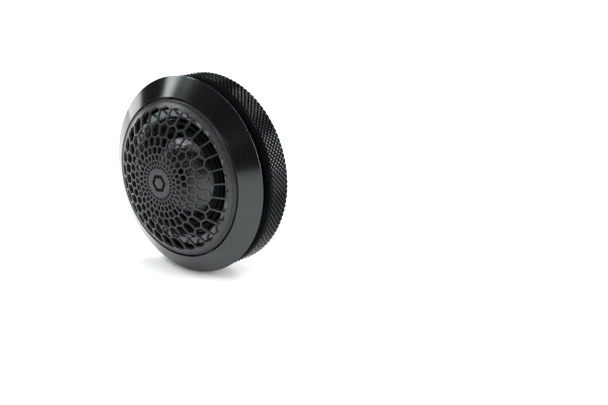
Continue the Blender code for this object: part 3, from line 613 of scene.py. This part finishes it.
def barrel():
    angles, inside = walled_columns(math.asin(KEYWAY_WIDTH / 2 / BARREL_R), 4)
    count = len(angles)
    chamfer, runout, end_chamfer, end_lead = 0.25 * MM, 0.5 * MM, 0.3 * MM, 0.4 * MM
    top, end = BARREL_TOP_Z - runout, BARREL_END_Z + end_lead
    root = BARREL_R - THREAD_DEPTH
    shoulder = [(SPIGOT_R, BARREL_TOP_Z), (BARREL_R - chamfer, BARREL_TOP_Z), (root, top)]
    rows = [[point] * count for point in [(BORE_R, 0), (SPIGOT_R, 0)] + shoulder]
    rows += thread_rows(root, BARREL_R, top, end, angles, runout)
    rows += [[(root - end_chamfer, BARREL_END_Z)] * count, [(BORE_R, BARREL_END_Z)] * count]
    floor = BARREL_R - KEYWAY_DEPTH
    for row in rows:
        for i, (r, z) in enumerate(row):
            if inside[i] and r > floor:
                row[i] = (floor, z)
    mesh = rows_mesh("barrel_threaded", rows, angles)
    piece("barrel_threaded", mesh, MATERIALS["barrel"], "housing", ["threaded_barrel"])


def rounded_edge(r, z, reach):
    """Points from a flat end at z out to the radius r, through a quarter circle ending short of z + reach."""
    size = 0.85 * reach
    points = []
    for k in range(FILLET_STEPS + 1):
        angle = (math.pi / 2) * k / FILLET_STEPS
        points.append((r - abs(size) * (1 - math.sin(angle)), z + size * (1 - math.cos(angle))))
    return points


def knurl_kind(row, column):
    """Where a point of the knurl's grid lies: on a diamond's middle, in a pit between four diamonds, in a
    valley between two, or on the corner of a flat top."""
    if row % 2 == 0 and column % 2 == 0:
        return "middle" if (row + column) % 4 == 0 else "pit"
    return "valley" if row % 2 and column % 2 else "corner"


def clamp_ring():
    """A ring with a knurl of flat-topped diamonds between its rounded edges, and an inside thread."""
    columns = KNURL_COLUMNS
    angles = even_angles(columns)
    band_top = CLAMP_FRONT_Z - CLAMP_CHAMFER
    band_end = CLAMP_END_Z + CLAMP_CHAMFER
    crest = BARREL_R + THREAD_CLEARANCE
    root = crest + THREAD_DEPTH
    edge_r = CLAMP_R - KNURL_DEPTH
    mouth_r = root + 0.25 * MM
    lead, runout = 0.3 * MM, 0.4 * MM

    rows = [[(mouth_r, CLAMP_FRONT_Z)] * columns]
    rows += [[point] * columns for point in rounded_edge(edge_r, CLAMP_FRONT_Z, -CLAMP_CHAMFER)]
    first = len(rows)
    for j in range(KNURL_ROWS + 1):
        z = band_top + (band_end - band_top) * j / KNURL_ROWS
        low = [knurl_kind(j, i) in ("pit", "valley") for i in range(columns)]
        rows.append([(edge_r if sunk else CLAMP_R, z) for sunk in low])
    rows += [[point] * columns for point in rounded_edge(edge_r, CLAMP_END_Z, CLAMP_CHAMFER)[::-1]]
    rows.append([(mouth_r, CLAMP_END_Z)] * columns)
    inner = thread_rows(root, crest, CLAMP_FRONT_Z - lead, CLAMP_END_Z + lead, angles, runout)
    rows += inner[::-1]

    def split(row, column):
        """Cuts off the corner of a diamond's flat top, and elsewhere follows the valley."""
        j = row - first
        if not 0 <= j < KNURL_ROWS:
            return 0
        kinds = [knurl_kind(j, column), knurl_kind(j, (column + 1) % columns)]
        kinds += [knurl_kind(j + 1, (column + 1) % columns), knurl_kind(j + 1, column)]
        if "middle" in kinds:
            return 2 if kinds.index("middle") in (0, 2) else 1
        return 1 if kinds.index("pit") in (0, 2) else 2

    mesh = rows_mesh("clamp_ring_knurled", rows, angles, split=split)
    made = piece(
        "clamp_ring_knurled", mesh, MATERIALS["clamp"], "clamp_ring", ["clamp_ring"])
    made.modifiers.remove(made.modifiers["flat_shading"])
    made.data.set_sharp_from_angle(angle=KNURL_SHARPNESS)


def washer_and_gaskets():
    angles, inside = walled_columns(math.asin(WASHER_KEY_WIDTH / 2 / WASHER_BORE_R), 2)
    rows = []
    for r, z in ring(WASHER_BORE_R, WASHER_R, front_of("clamp_washer"), rear_of("clamp_washer"), 0.1 * MM):
        inward = r < (WASHER_BORE_R + WASHER_R) / 2
        key_r = r - (WASHER_BORE_R - WASHER_KEY_R) if inward else r
        rows.append([(key_r if key else r, z) for key in inside])
    mesh = rows_mesh("clamp_washer_keyed", rows, angles)
    piece("clamp_washer_keyed", mesh, MATERIALS["nylon"], "washer", ["clamp_washer"])

    top, end = front_of("panel_gasket"), rear_of("panel_gasket")
    outline = ring(PANEL_GASKET_BORE_R, radius_of("panel_gasket"), top, end, 0.12 * MM)
    mesh = turned("panel_gasket_foam", outline)
    piece("panel_gasket_foam", mesh, MATERIALS["foam"], "housing", ["panel_gasket"])

    top, end = front_of("grille_gasket"), rear_of("grille_gasket")
    outline = ring(GRILLE_GASKET_BORE_R, radius_of("grille_gasket"), top, end, 0.1 * MM)
    mesh = turned("grille_gasket_ring", outline)
    piece("grille_gasket_ring", mesh, MATERIALS["rubber"], "housing", ["grille_gasket"])


# Grille

def grille_z(r):
    """Height of the grille's outer surface."""
    return GRILLE_APEX_Z - (GRILLE_APEX_Z - GRILLE_EDGE_Z) * (r / GRILLE_R) ** GRILLE_POWER


def boundary(index):
    """(middle radius, zigzag height) of the line inside a ring of cells. Rings count inwards from 1."""
    if index == 0:
        return CELLS_OUTER_R, OUTER_ZIGZAG * CELLS_OUTER_R
    middle = FIRST_BOUNDARY_R / RING_RATIO ** (index - 1)
    return middle, ZIGZAG * middle


def on_circle(r, angle):
    return Vector((r * math.cos(angle), r * math.sin(angle)))


def inset_polygon(corners, distance):
    """The corners of a convex polygon, listed anticlockwise, after each side moves inwards by a distance."""
    moved = []
    for i, corner in enumerate(corners):
        before = (corner - corners[i - 1]).normalized()
        after = (corners[(i + 1) % len(corners)] - corner).normalized()
        lean = Vector((-before.y - after.y, before.x + after.x))
        moved.append(corner + lean * (distance / (1 + before.dot(after))))
    return moved


def cell_corners(ring_number, centre, half_step):
    """Six corners of a cell, anticlockwise from its outer tip, less its webs, which thin towards the hub."""
    outer, outer_rise = boundary(ring_number - 1)
    inner, inner_rise = boundary(ring_number)
    corners = [
        on_circle(outer + outer_rise, centre),
        on_circle(outer - outer_rise, centre + half_step),
        on_circle(inner + inner_rise, centre + half_step),
        on_circle(inner - inner_rise, centre),
        on_circle(inner + inner_rise, centre - half_step),
        on_circle(outer - outer_rise, centre - half_step),
    ]
    return inset_polygon(corners, min(WEB, WEB_SHARE * (outer - inner)) / 2)


def stitched(geometry, outer, inner):
    """Triangles between two loops of different counts, each a list of (angle, vertex) in rising order."""
    i = j = 0
    while i < len(outer) or j < len(inner):
        next_outer = outer[(i + 1) % len(outer)][0] + TURN * ((i + 1) // len(outer))
        next_inner = inner[(j + 1) % len(inner)][0] + TURN * ((j + 1) // len(inner))
        a, b = outer[i % len(outer)][1], inner[j % len(inner)][1]
        if j >= len(inner) or (i < len(outer) and next_outer <= next_inner):
            geometry.faces.new((a, outer[(i + 1) % len(outer)][1], b))
            i += 1
        else:
            geometry.faces.new((a, inner[(j + 1) % len(inner)][1], b))
            j += 1


def loop_points(geometry, r, count, z=None):
    height = grille_z(r) if z is None else z
    return [(a, geometry.verts.new((*on_circle(r, a), height))) for a in even_angles(count)]


def bridged(geometry, outer, inner):
    """Squares between two loops of the same count."""
    count = len(outer)
    faces = []
    for i in range(count):
        j = (i + 1) % count
        faces.append(geometry.faces.new((outer[i][1], outer[j][1], inner[j][1], inner[i][1])))
    return faces


def hexagon_points(geometry, r, depth):
    """Points round a hexagon on the hub, at the angles of a loop of 2 * CELLS points, sunk by a depth."""
    points = []
    side = TURN / 6
    for angle in even_angles(2 * CELLS):
        reach = r * math.cos(side / 2) / math.cos(angle % side - side / 2)
        points.append((angle, geometry.verts.new((*on_circle(reach, angle), grille_z(reach) - depth))))
    return points


def by_angle(vertices):
    """(angle, vertex) in rising order from angle 0."""
    tagged = []
    for vertex in vertices:
        angle = math.atan2(vertex.co.y, vertex.co.x) % TURN
        tagged.append((0.0 if TURN - angle < SAME_ANGLE else angle, vertex))
    return sorted(tagged, key=lambda item: item[0])


def honeycomb(geometry):
    """The webs between the cells. Returns the loops of corners outside and inside them."""
    step = TURN / CELLS
    cells = {}
    for number in range(1, RINGS + 1):
        shift = 0.5 * (number % 2)
        for i in range(CELLS):
            corners = cell_corners(number, (i + shift) * step, step / 2)
            cells[number, i] = [geometry.verts.new((p.x, p.y, grille_z(p.length))) for p in corners]
    for (number, i), cell in cells.items():
        beside = cells[number, (i + 1) % CELLS]
        geometry.faces.new((cell[1], cell[2], beside[4], beside[5]))
        if number == RINGS:
            continue
        first = (i + number % 2) % CELLS
        ahead = cells[number + 1, first]
        behind = cells[number + 1, (first - 1) % CELLS]
        geometry.faces.new((cell[2], cell[3], ahead[5], ahead[0]))
        geometry.faces.new((cell[3], cell[4], behind[0], behind[1]))
        geometry.faces.new((cell[3], behind[1], ahead[5]))
        geometry.faces.new((cell[2], ahead[0], beside[4]))
    outside = [cells[1, i][k] for i in range(CELLS) for k in (5, 0, 1)]
    inside = [cells[RINGS, i][k] for i in range(CELLS) for k in (4, 3, 2)]
    return by_angle(outside), by_angle(inside)


def grille():
    """A pressed sheet: honeycomb webs, a closed hub, and a rim that turns down into the bezel's pocket."""
    geometry = bmesh.new()
    outside, inside = honeycomb(geometry)

    corner_r = GRILLE_R - GRILLE_ROUND
    corner_z = grille_z(corner_r)
    rim = [(CELL_RIM_R, grille_z(CELL_RIM_R)), (corner_r, corner_z)]
    steps = 6
    for k in range(1, steps + 1):
        angle = (math.pi / 2) * k / steps
        fall = GRILLE_ROUND * (1 - math.cos(angle))
        rim.append((GRILLE_R - GRILLE_ROUND * (1 - math.sin(angle)), corner_z - fall))
    rim.append((GRILLE_R, SKIRT_END_Z))
    loops = [loop_points(geometry, r, COLUMNS, z) for r, z in rim]
    stitched(geometry, loops[0], outside)
    for inner, outer in zip(loops, loops[1:]):
        bridged(geometry, outer, inner)

    last, last_rise = boundary(RINGS)
    hub_r = last - last_rise - HUB_RIM - WEB / 2
    hub_loops = [loop_points(geometry, hub_r * share, 2 * CELLS) for share in (1.0, HUB_FLAT)]
    stitched(geometry, inside, hub_loops[0])
    for share, depth in ((EMBLEM_OUTER, 0), (EMBLEM_OUTER - EMBLEM_SLOPE, EMBLEM_DEPTH),
                         (EMBLEM_INNER + EMBLEM_SLOPE, EMBLEM_DEPTH), (EMBLEM_INNER, 0)):
        hub_loops.append(hexagon_points(geometry, hub_r * share, depth))
    hub_loops.append(loop_points(geometry, hub_r * HUB_CENTRE, 2 * CELLS))
    groove = (2, 3, 4)  # the bands of faces between the hexagons, whose near-black finish is painted shade
    for number, (outer, inner) in enumerate(zip(hub_loops, hub_loops[1:])):
        for face in bridged(geometry, outer, inner):
            face.material_index = 1 if number in groove else 0
    geometry.faces.new([vertex for _, vertex in hub_loops[-1]])

    half_cell = Matrix.Rotation(math.pi / CELLS, 3, "Z")
    bmesh.ops.rotate(geometry, cent=(0, 0, 0), matrix=half_cell, verts=geometry.verts)
    bmesh.ops.recalc_face_normals(geometry, faces=geometry.faces)
    if sum(face.normal.z for face in geometry.faces) < 0:
        bmesh.ops.reverse_faces(geometry, faces=geometry.faces)
    mesh = bpy.data.meshes.new("grille_pressed")
    geometry.to_mesh(mesh)
    geometry.free()
    made = piece("grille_pressed", mesh, MATERIALS["grille"], "housing", ["grille"])
    made.modifiers.clear()
    sheet = made.modifiers.new("sheet", "SOLIDIFY")
    sheet.thickness = GRILLE_SHEET
    sheet.offset = -1
    soften(made, 0.06 * MM, angle=50)
    mesh.materials.append(MATERIALS["emblem"])


# Driver

def driver_front():
    """The faceplate with its raised land, and the ring that holds the surround's edge down on it."""
    fillet = 0.12 * MM
    hole_r, plate_r = 13.9 * MM, 22.0 * MM
    land_foot_r, land_inner_r, land_outer_r, land_side_r = 17.5 * MM, 18.5 * MM, 20.4 * MM, 20.6 * MM
    land_foot, land_chamfer = 0.9 * MM, 0.2 * MM
    plate_front, plate_rear = -1.4 * MM, rear_of("faceplate")
    land_z = front_of("faceplate")
    seat_z = rear_of("surround") - 0.3 * MM
    outline = [
        (hole_r, seat_z),
        (land_foot_r, seat_z),
        (land_foot_r, land_z - land_foot),
        (land_inner_r, land_z),
        (land_outer_r, land_z),
        (land_side_r, land_z - land_chamfer),
        (land_side_r, plate_front),
        (plate_r, plate_front),
        (plate_r, plate_rear),
        (hole_r, plate_rear),
    ]
    mesh = turned("faceplate_turned", rounded(outline, fillet))
    piece("faceplate_turned", mesh, MATERIALS["faceplate"], "housing", ["faceplate"])

    inner_r, step_r, crown_r, outer_r = 15.8 * MM, 16.45 * MM, 16.6 * MM, 17.2 * MM
    low, top = rear_of("surround_hold_ring"), front_of("surround_hold_ring")
    step_z, step_fall = (low + top) / 2, 0.1 * MM
    outline = [
        (inner_r, low),
        (outer_r, low),
        (outer_r, top),
        (crown_r, top),
        (step_r, step_z),
        (inner_r, step_z - step_fall),
    ]
    mesh = turned("hold_ring_stepped", rounded(outline, fillet))
    piece("hold_ring_stepped", mesh, MATERIALS["gloss"], "housing", ["surround_hold_ring"])


def surround():
    """A half-round roll. Its outer edge stays with the housing and its inner edge goes with the dome."""
    inner, roll_outer, outer = 12.75 * MM, 15.3 * MM, 17.2 * MM
    low = rear_of("surround")
    thickness = 0.3 * MM
    middle, half = (inner + roll_outer) / 2, (roll_outer - inner) / 2
    steps = 14
    upper, lower = [], []
    for k in range(steps + 1):
        angle = math.pi * (1 - k / steps)
        upper.append((middle + half * math.cos(angle), low + thickness + half * math.sin(angle)))
        lower.append((middle + (half - thickness) * math.cos(angle), low + half * math.sin(angle)))
    outline = upper + [(outer, low + thickness), (outer, low)] + lower[::-1] + [(inner, low)]
    mesh = turned("surround_roll", outline)
    made = shown("surround_roll", mesh, MATERIALS["surround"])
    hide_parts("surround")
    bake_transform(made, "housing", "diaphragm", start=(outer, 0, 0), end=(inner, 0, 0))
    # The bend runs inwards all round, so each point's share follows from its distance to the axis.
    share = mesh.attributes["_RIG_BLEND"]
    for point, value in zip(mesh.vertices, share.data):
        reach = math.hypot(point.co.x, point.co.z)
        t = min(1.0, max(0.0, (roll_outer - reach) / (roll_outer - inner)))
        value.value = t * t * (3 - 2 * t)


def dome():
    """A thin cap with a full shoulder, and a narrow flange that the surround is glued to."""
    edge_r, height, thickness = 12.4 * MM, 4.9 * MM, 0.3 * MM
    flange_inner_r, flange_r, flange_thickness = 12.1 * MM, 12.72 * MM, 0.15 * MM
    fullness = 2.9  # 2 is close to a sphere, more is flatter at the top and steeper at the edge
    steps = 28
    base = front_of("dome_diaphragm") - height
    outside = []
    for k in range(steps + 1):
        share = math.sin((math.pi / 2) * k / steps)
        outside.append((edge_r * share, base + height * (1 - share ** fullness)))
    within = [(r * (1 - thickness / edge_r), z - thickness) for r, z in outside]
    under = base - flange_thickness
    flange = [(flange_r, base), (flange_r, under), (flange_inner_r, under)]
    mesh = turned("dome_cap", outside + flange + within[:-1][::-1])
    piece("dome_cap", mesh, MATERIALS["dome"], "diaphragm", ["dome_diaphragm"])


# Rear

def rear_cover():
    """A moulded lid: a plug with a groove for its seal, a flange, and a can with a dished end."""
    can_r, dish_r, dish_rim = 20.2 * MM, 12.2 * MM, 0.2 * MM
    can_inner_r, plug_r, groove_r, flange_r = 19.0 * MM, 22.0 * MM, 20.7 * MM, 24.8 * MM
    can_floor, can_end, dish_z = -17.6 * MM, -18.9 * MM, -18.65 * MM
    plug_top, groove_top, groove_end = front_of("rear_cover"), -11.7 * MM, -13.3 * MM
    flange_top, flange_end = -13.9 * MM, -15.2 * MM
    outline = [
        (0, can_floor),
        (can_inner_r, can_floor),
        (can_inner_r, plug_top),
        (plug_r, plug_top),
        (plug_r, groove_top),
        (groove_r, groove_top),
        (groove_r, groove_end),
        (plug_r, groove_end),
        (plug_r, flange_top),
        (flange_r, flange_top),
        (flange_r, flange_end),
        (can_r, flange_end),
        (can_r, can_end),
        (dish_r, can_end),
        (dish_r - dish_rim, dish_z),
        (0, dish_z),
    ]
    fine = 0.1 * MM
    radii = [0] + [fine] * 8 + [0.2 * MM, 0.35 * MM, 0.3 * MM, 0.5 * MM, fine, fine, 0]
    mesh = turned("rear_cover_moulded", rounded(outline, radii))
    piece("rear_cover_moulded", mesh, MATERIALS["abs"], "housing", ["rear_cover"])


def middle_of(node):
    """A node's middle across the axis, in the tweeter's frame."""
    low, high = LOW[node], HIGH[node]
    return Vector(((low.x + high.x) / 2, (low.z + high.z) / 2, 0))


def screw(name, node, head_r, head, shank_r):
    """A cross-head screw with a rounded head, in place of one CAD screw."""
    centre = middle_of(node)
    tip, top = front_of(node), rear_of(node)
    under = top + head
    point_width, point_length = 0.2 * MM, 0.3 * MM
    outline = [
        (0, tip),
        (shank_r - point_width, tip),
        (shank_r, tip - point_length),
        (shank_r, under),
        (head_r, under),
        (head_r, under - head * SCREW_SIDE),
        (head_r * SCREW_CROWN, top),
        (0, top),
    ]
    radii = [0, 0.03 * MM, 0.03 * MM, 0, 0.08 * MM, 0.2 * MM, 0.2 * MM, 0]
    mesh = turned(name, rounded(outline, radii), SMALL_COLUMNS)
    mesh.transform(Matrix.Translation(centre))
    made = piece(name, mesh, MATERIALS["screw"], "housing", [node])
    cutter = cross(name + "_recess", head_r * SCREW_CROSS, top, centre)
    recess = made.modifiers.new("recess", "BOOLEAN")
    recess.object = cutter
    recess.solver = "EXACT"
    applied(made)
    bpy.data.objects.remove(cutter, do_unlink=True)
    soften(made)


def cross(name, reach, z, centre):
    """An upright cross, tapered towards its foot, as a cutter."""
    half, depth = 0.16 * MM, 0.45 * MM
    geometry = bmesh.new()
    layers = []
    for level, scale in ((-depth, 1.0), (depth, CROSS_TAPER)):
        points = []
        for turn in range(4):
            spin = Matrix.Rotation(math.pi * turn / 2, 2)
            for x, y in ((reach * scale, -half), (reach * scale, half), (half, half)):
                p = spin @ Vector((x, y))
                points.append(geometry.verts.new((p.x, p.y, z + level)))
        layers.append(points)
    geometry.faces.new(layers[0])
    geometry.faces.new(layers[1])
    count = len(layers[0])
    for k in range(count):
        following = (k + 1) % count
        geometry.faces.new((layers[0][k], layers[0][following], layers[1][following], layers[1][k]))
    bmesh.ops.recalc_face_normals(geometry, faces=geometry.faces)
    mesh = bpy.data.meshes.new(name)
    geometry.to_mesh(mesh)
    geometry.free()
    mesh.transform(Matrix.Translation(centre))
    to_world(mesh)
    made = bpy.data.objects.new(name, mesh)
    bpy.context.scene.collection.objects.link(made)
    return made


def applied(made):
    """Turns an object's modifiers into its mesh."""
    graph = bpy.context.evaluated_depsgraph_get()
    mesh = bpy.data.meshes.new_from_object(made.evaluated_get(graph))
    made.modifiers.clear()
    made.data = mesh


def rivet(number):
    node = f"terminal_rivet_{number}"
    top, end = front_of(node), rear_of(node)
    head_r, shank_r, head, crown = 1.1 * MM, 0.6 * MM, 0.5 * MM, 0.1 * MM
    outline = [
        (0, top),
        (head_r, top),
        (head_r, top - head),
        (shank_r, top - head),
        (shank_r, end + head),
        (head_r, end + head),
        (head_r * RIVET_CROWN, end + crown),
        (0, end),
    ]
    radii = [0, 0.15 * MM, 0.05 * MM, 0, 0, 0.1 * MM, 0.3 * MM, 0]
    mesh = turned(node + "_domed", rounded(outline, radii), SMALL_COLUMNS)
    mesh.transform(Matrix.Translation(middle_of(node)))
    piece(node + "_domed", mesh, MATERIALS["brass"], "housing", [node])


def rear_parts():
    rear_cover()
    for number in (1, 2, 3):
        cover_node, cup_node = f"rear_cover_screw_{number}", f"motor_screw_{number}"
        screw(f"cover_screw_{number}", cover_node, 1.2 * MM, 0.7 * MM, 0.55 * MM)
        screw(f"cup_screw_{number}", cup_node, 1.35 * MM, 1.1 * MM, 0.8 * MM)
    for number in (1, 2):
        rivet(number)


KEPT = {
    "faceplate_gasket": "rubber",
    "rear_seal": "rubber",
    "driver_retaining_ring": "retaining",
    "coil_former": "former",
    "voice_coil": "copper",
    "magnet_cup": "nickel",
    "pole_plate": "steel",
    "neodymium_magnet": "magnet",
    "felt_pad": "felt",
    "terminal_board": "laminate",
    "terminal_positive": "tinned",
    "terminal_negative": "tinned",
    "lead_tag_positive": "brass",
    "lead_tag_negative": "brass",
    "lead_wire_positive": "wire_red",
    "lead_wire_negative": "wire_black",
}
ROUNDED_NODES = ("terminal_board", "terminal_positive", "terminal_negative")


def kept_nodes():
    """The CAD nodes that show as they are, with their finish and, where they show, rounded edges."""
    for name, finish_name in KEPT.items():
        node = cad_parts[name]
        node.material_slots[0].material = MATERIALS[finish_name]
        if name in ROUNDED_NODES:
            soften(node, 0.08 * MM)


# Studio

CAMERA_AZIMUTH = math.radians(38.5)
CAMERA_PITCH = math.radians(16.6)
CAMERA_LENS = 65.1  # mm, on Blender's 36 mm sensor
CAMERA_DISTANCE = 10.974 * BEZEL_R
CAMERA_RIGHT = 1.168 * BEZEL_R
CAMERA_DOWN = 0.272 * BEZEL_R
FLOOR_GAP = 0.3 * MM
FLOOR_HALF = 20
LIGHT_DISTANCE = 0.9
WHITE = (1, 1, 1)
# The world's strength as the camera sees it, as it lights matte surfaces, and as it shows in glossy ones
WORLD_SEEN = 1.0
WORLD_FILL = 0.90
WORLD_REFLECTED = 0.04


def camera():
    a, p = CAMERA_AZIMUTH, CAMERA_PITCH
    right = Vector((math.cos(a), math.sin(a), 0))
    ahead = Vector((-math.sin(a) * math.cos(p), math.cos(a) * math.cos(p), -math.sin(p)))
    up = right.cross(ahead)
    data = bpy.data.cameras.new("camera")
    data.lens = CAMERA_LENS
    data.clip_start = 0.01
    data.clip_end = 50
    made = bpy.data.objects.new("camera", data)
    bpy.context.scene.collection.objects.link(made)
    target = Vector((0, EDGE_PLANE, 0))
    made.location = target - ahead * CAMERA_DISTANCE + right * CAMERA_RIGHT - up * CAMERA_DOWN
    made.rotation_euler = ahead.to_track_quat("-Z", "Y").to_euler()
    bpy.context.scene.camera = made


def outward(azimuth, elevation):
    """The direction from the tweeter to a light. Azimuth 0 is straight in front and grows to the right."""
    a, e = math.radians(azimuth), math.radians(elevation)
    return Vector((math.sin(a) * math.cos(e), -math.cos(a) * math.cos(e), math.sin(e)))


def placed(name, data, direction, distance):
    made = bpy.data.objects.new(name, data)
    bpy.context.scene.collection.objects.link(made)
    made.location = direction * distance
    made.rotation_euler = (-direction).to_track_quat("-Z", "Y").to_euler()
    made.visible_camera = False


def sun_light(name, azimuth, elevation, spread, energy):
    """Light from a round patch of sky, spread degrees across."""
    data = bpy.data.lights.new(name, "SUN")
    data.energy = energy
    data.angle = math.radians(spread)
    placed(name, data, outward(azimuth, elevation), 1.0)


def area_light(name, azimuth, elevation, width, height, radiance):
    """A soft rectangle that faces the tweeter."""
    data = bpy.data.lights.new(name, "AREA")
    data.shape = "RECTANGLE"
    data.size, data.size_y = width, height
    data.energy = radiance * math.pi * width * height
    placed(name, data, outward(azimuth, elevation), LIGHT_DISTANCE)


def paper_floor():
    plane = bpy.data.meshes.new("floor")
    level = LOW["bezel"].z - FLOOR_GAP
    corners = [(-1, -1), (1, -1), (1, 1), (-1, 1)]
    plane.from_pydata([(x * FLOOR_HALF, y * FLOOR_HALF, level) for x, y in corners], [], [(0, 1, 2, 3)])
    floor = bpy.data.objects.new("floor", plane)
    bpy.context.scene.collection.objects.link(floor)
    paper = Finish("floor_paper", 0.9)
    paper.colour(paper.spread(paper.noise(0.05), 0, 1), grey(0.86), grey(0.88))
    plane.materials.append(paper.material)


def lights():
    sun_light("overhead", 180, 75, 20, 0.3)
    sun_light("key", 66, 55, 22, 0.9)
    area_light("strip", -70, 36, 0.16, 0.22, 8.0)
    area_light("upper", -64, 50, 0.17, 0.18, 28.0)
    area_light("top", -10, 61, 0.45, 0.16, 3.5)
    area_light("front", 2, 16, 0.30, 0.14, 3.5)
    area_light("card", -93, 5, 0.60, 0.16, 3.1)
    area_light("back", 146, 12, 0.75, 0.45, 15.0)
    area_light("back_top", 178, 36, 0.45, 0.25, 8.0)


def surroundings():
    """An even white world that hardly shows in glossy surfaces."""
    world = bpy.data.worlds.new("studio")
    bpy.context.scene.world = world
    world.use_nodes = True
    tree = world.node_tree
    around = tree.nodes["Background"]
    around.inputs["Color"].default_value = (*WHITE, 1)
    path = tree.nodes.new("ShaderNodeLightPath")
    strength = None
    for ray, level in (("Is Glossy Ray", WORLD_REFLECTED), ("Is Diffuse Ray", WORLD_FILL)):
        added = tree.nodes.new("ShaderNodeMath")
        added.operation = "MULTIPLY_ADD"
        tree.links.new(path.outputs[ray], added.inputs[0])
        added.inputs[1].default_value = level - WORLD_SEEN
        added.inputs[2].default_value = WORLD_SEEN
        if strength is not None:
            tree.links.new(strength, added.inputs[2])
        strength = added.outputs[0]
    tree.links.new(strength, around.inputs["Strength"])


camera()
bezel()
barrel()
clamp_ring()
washer_and_gaskets()
grille()
driver_front()
surround()
dome()
rear_parts()
kept_nodes()
paper_floor()
lights()
surroundings()
bpy.context.scene.view_settings.view_transform = "Standard"
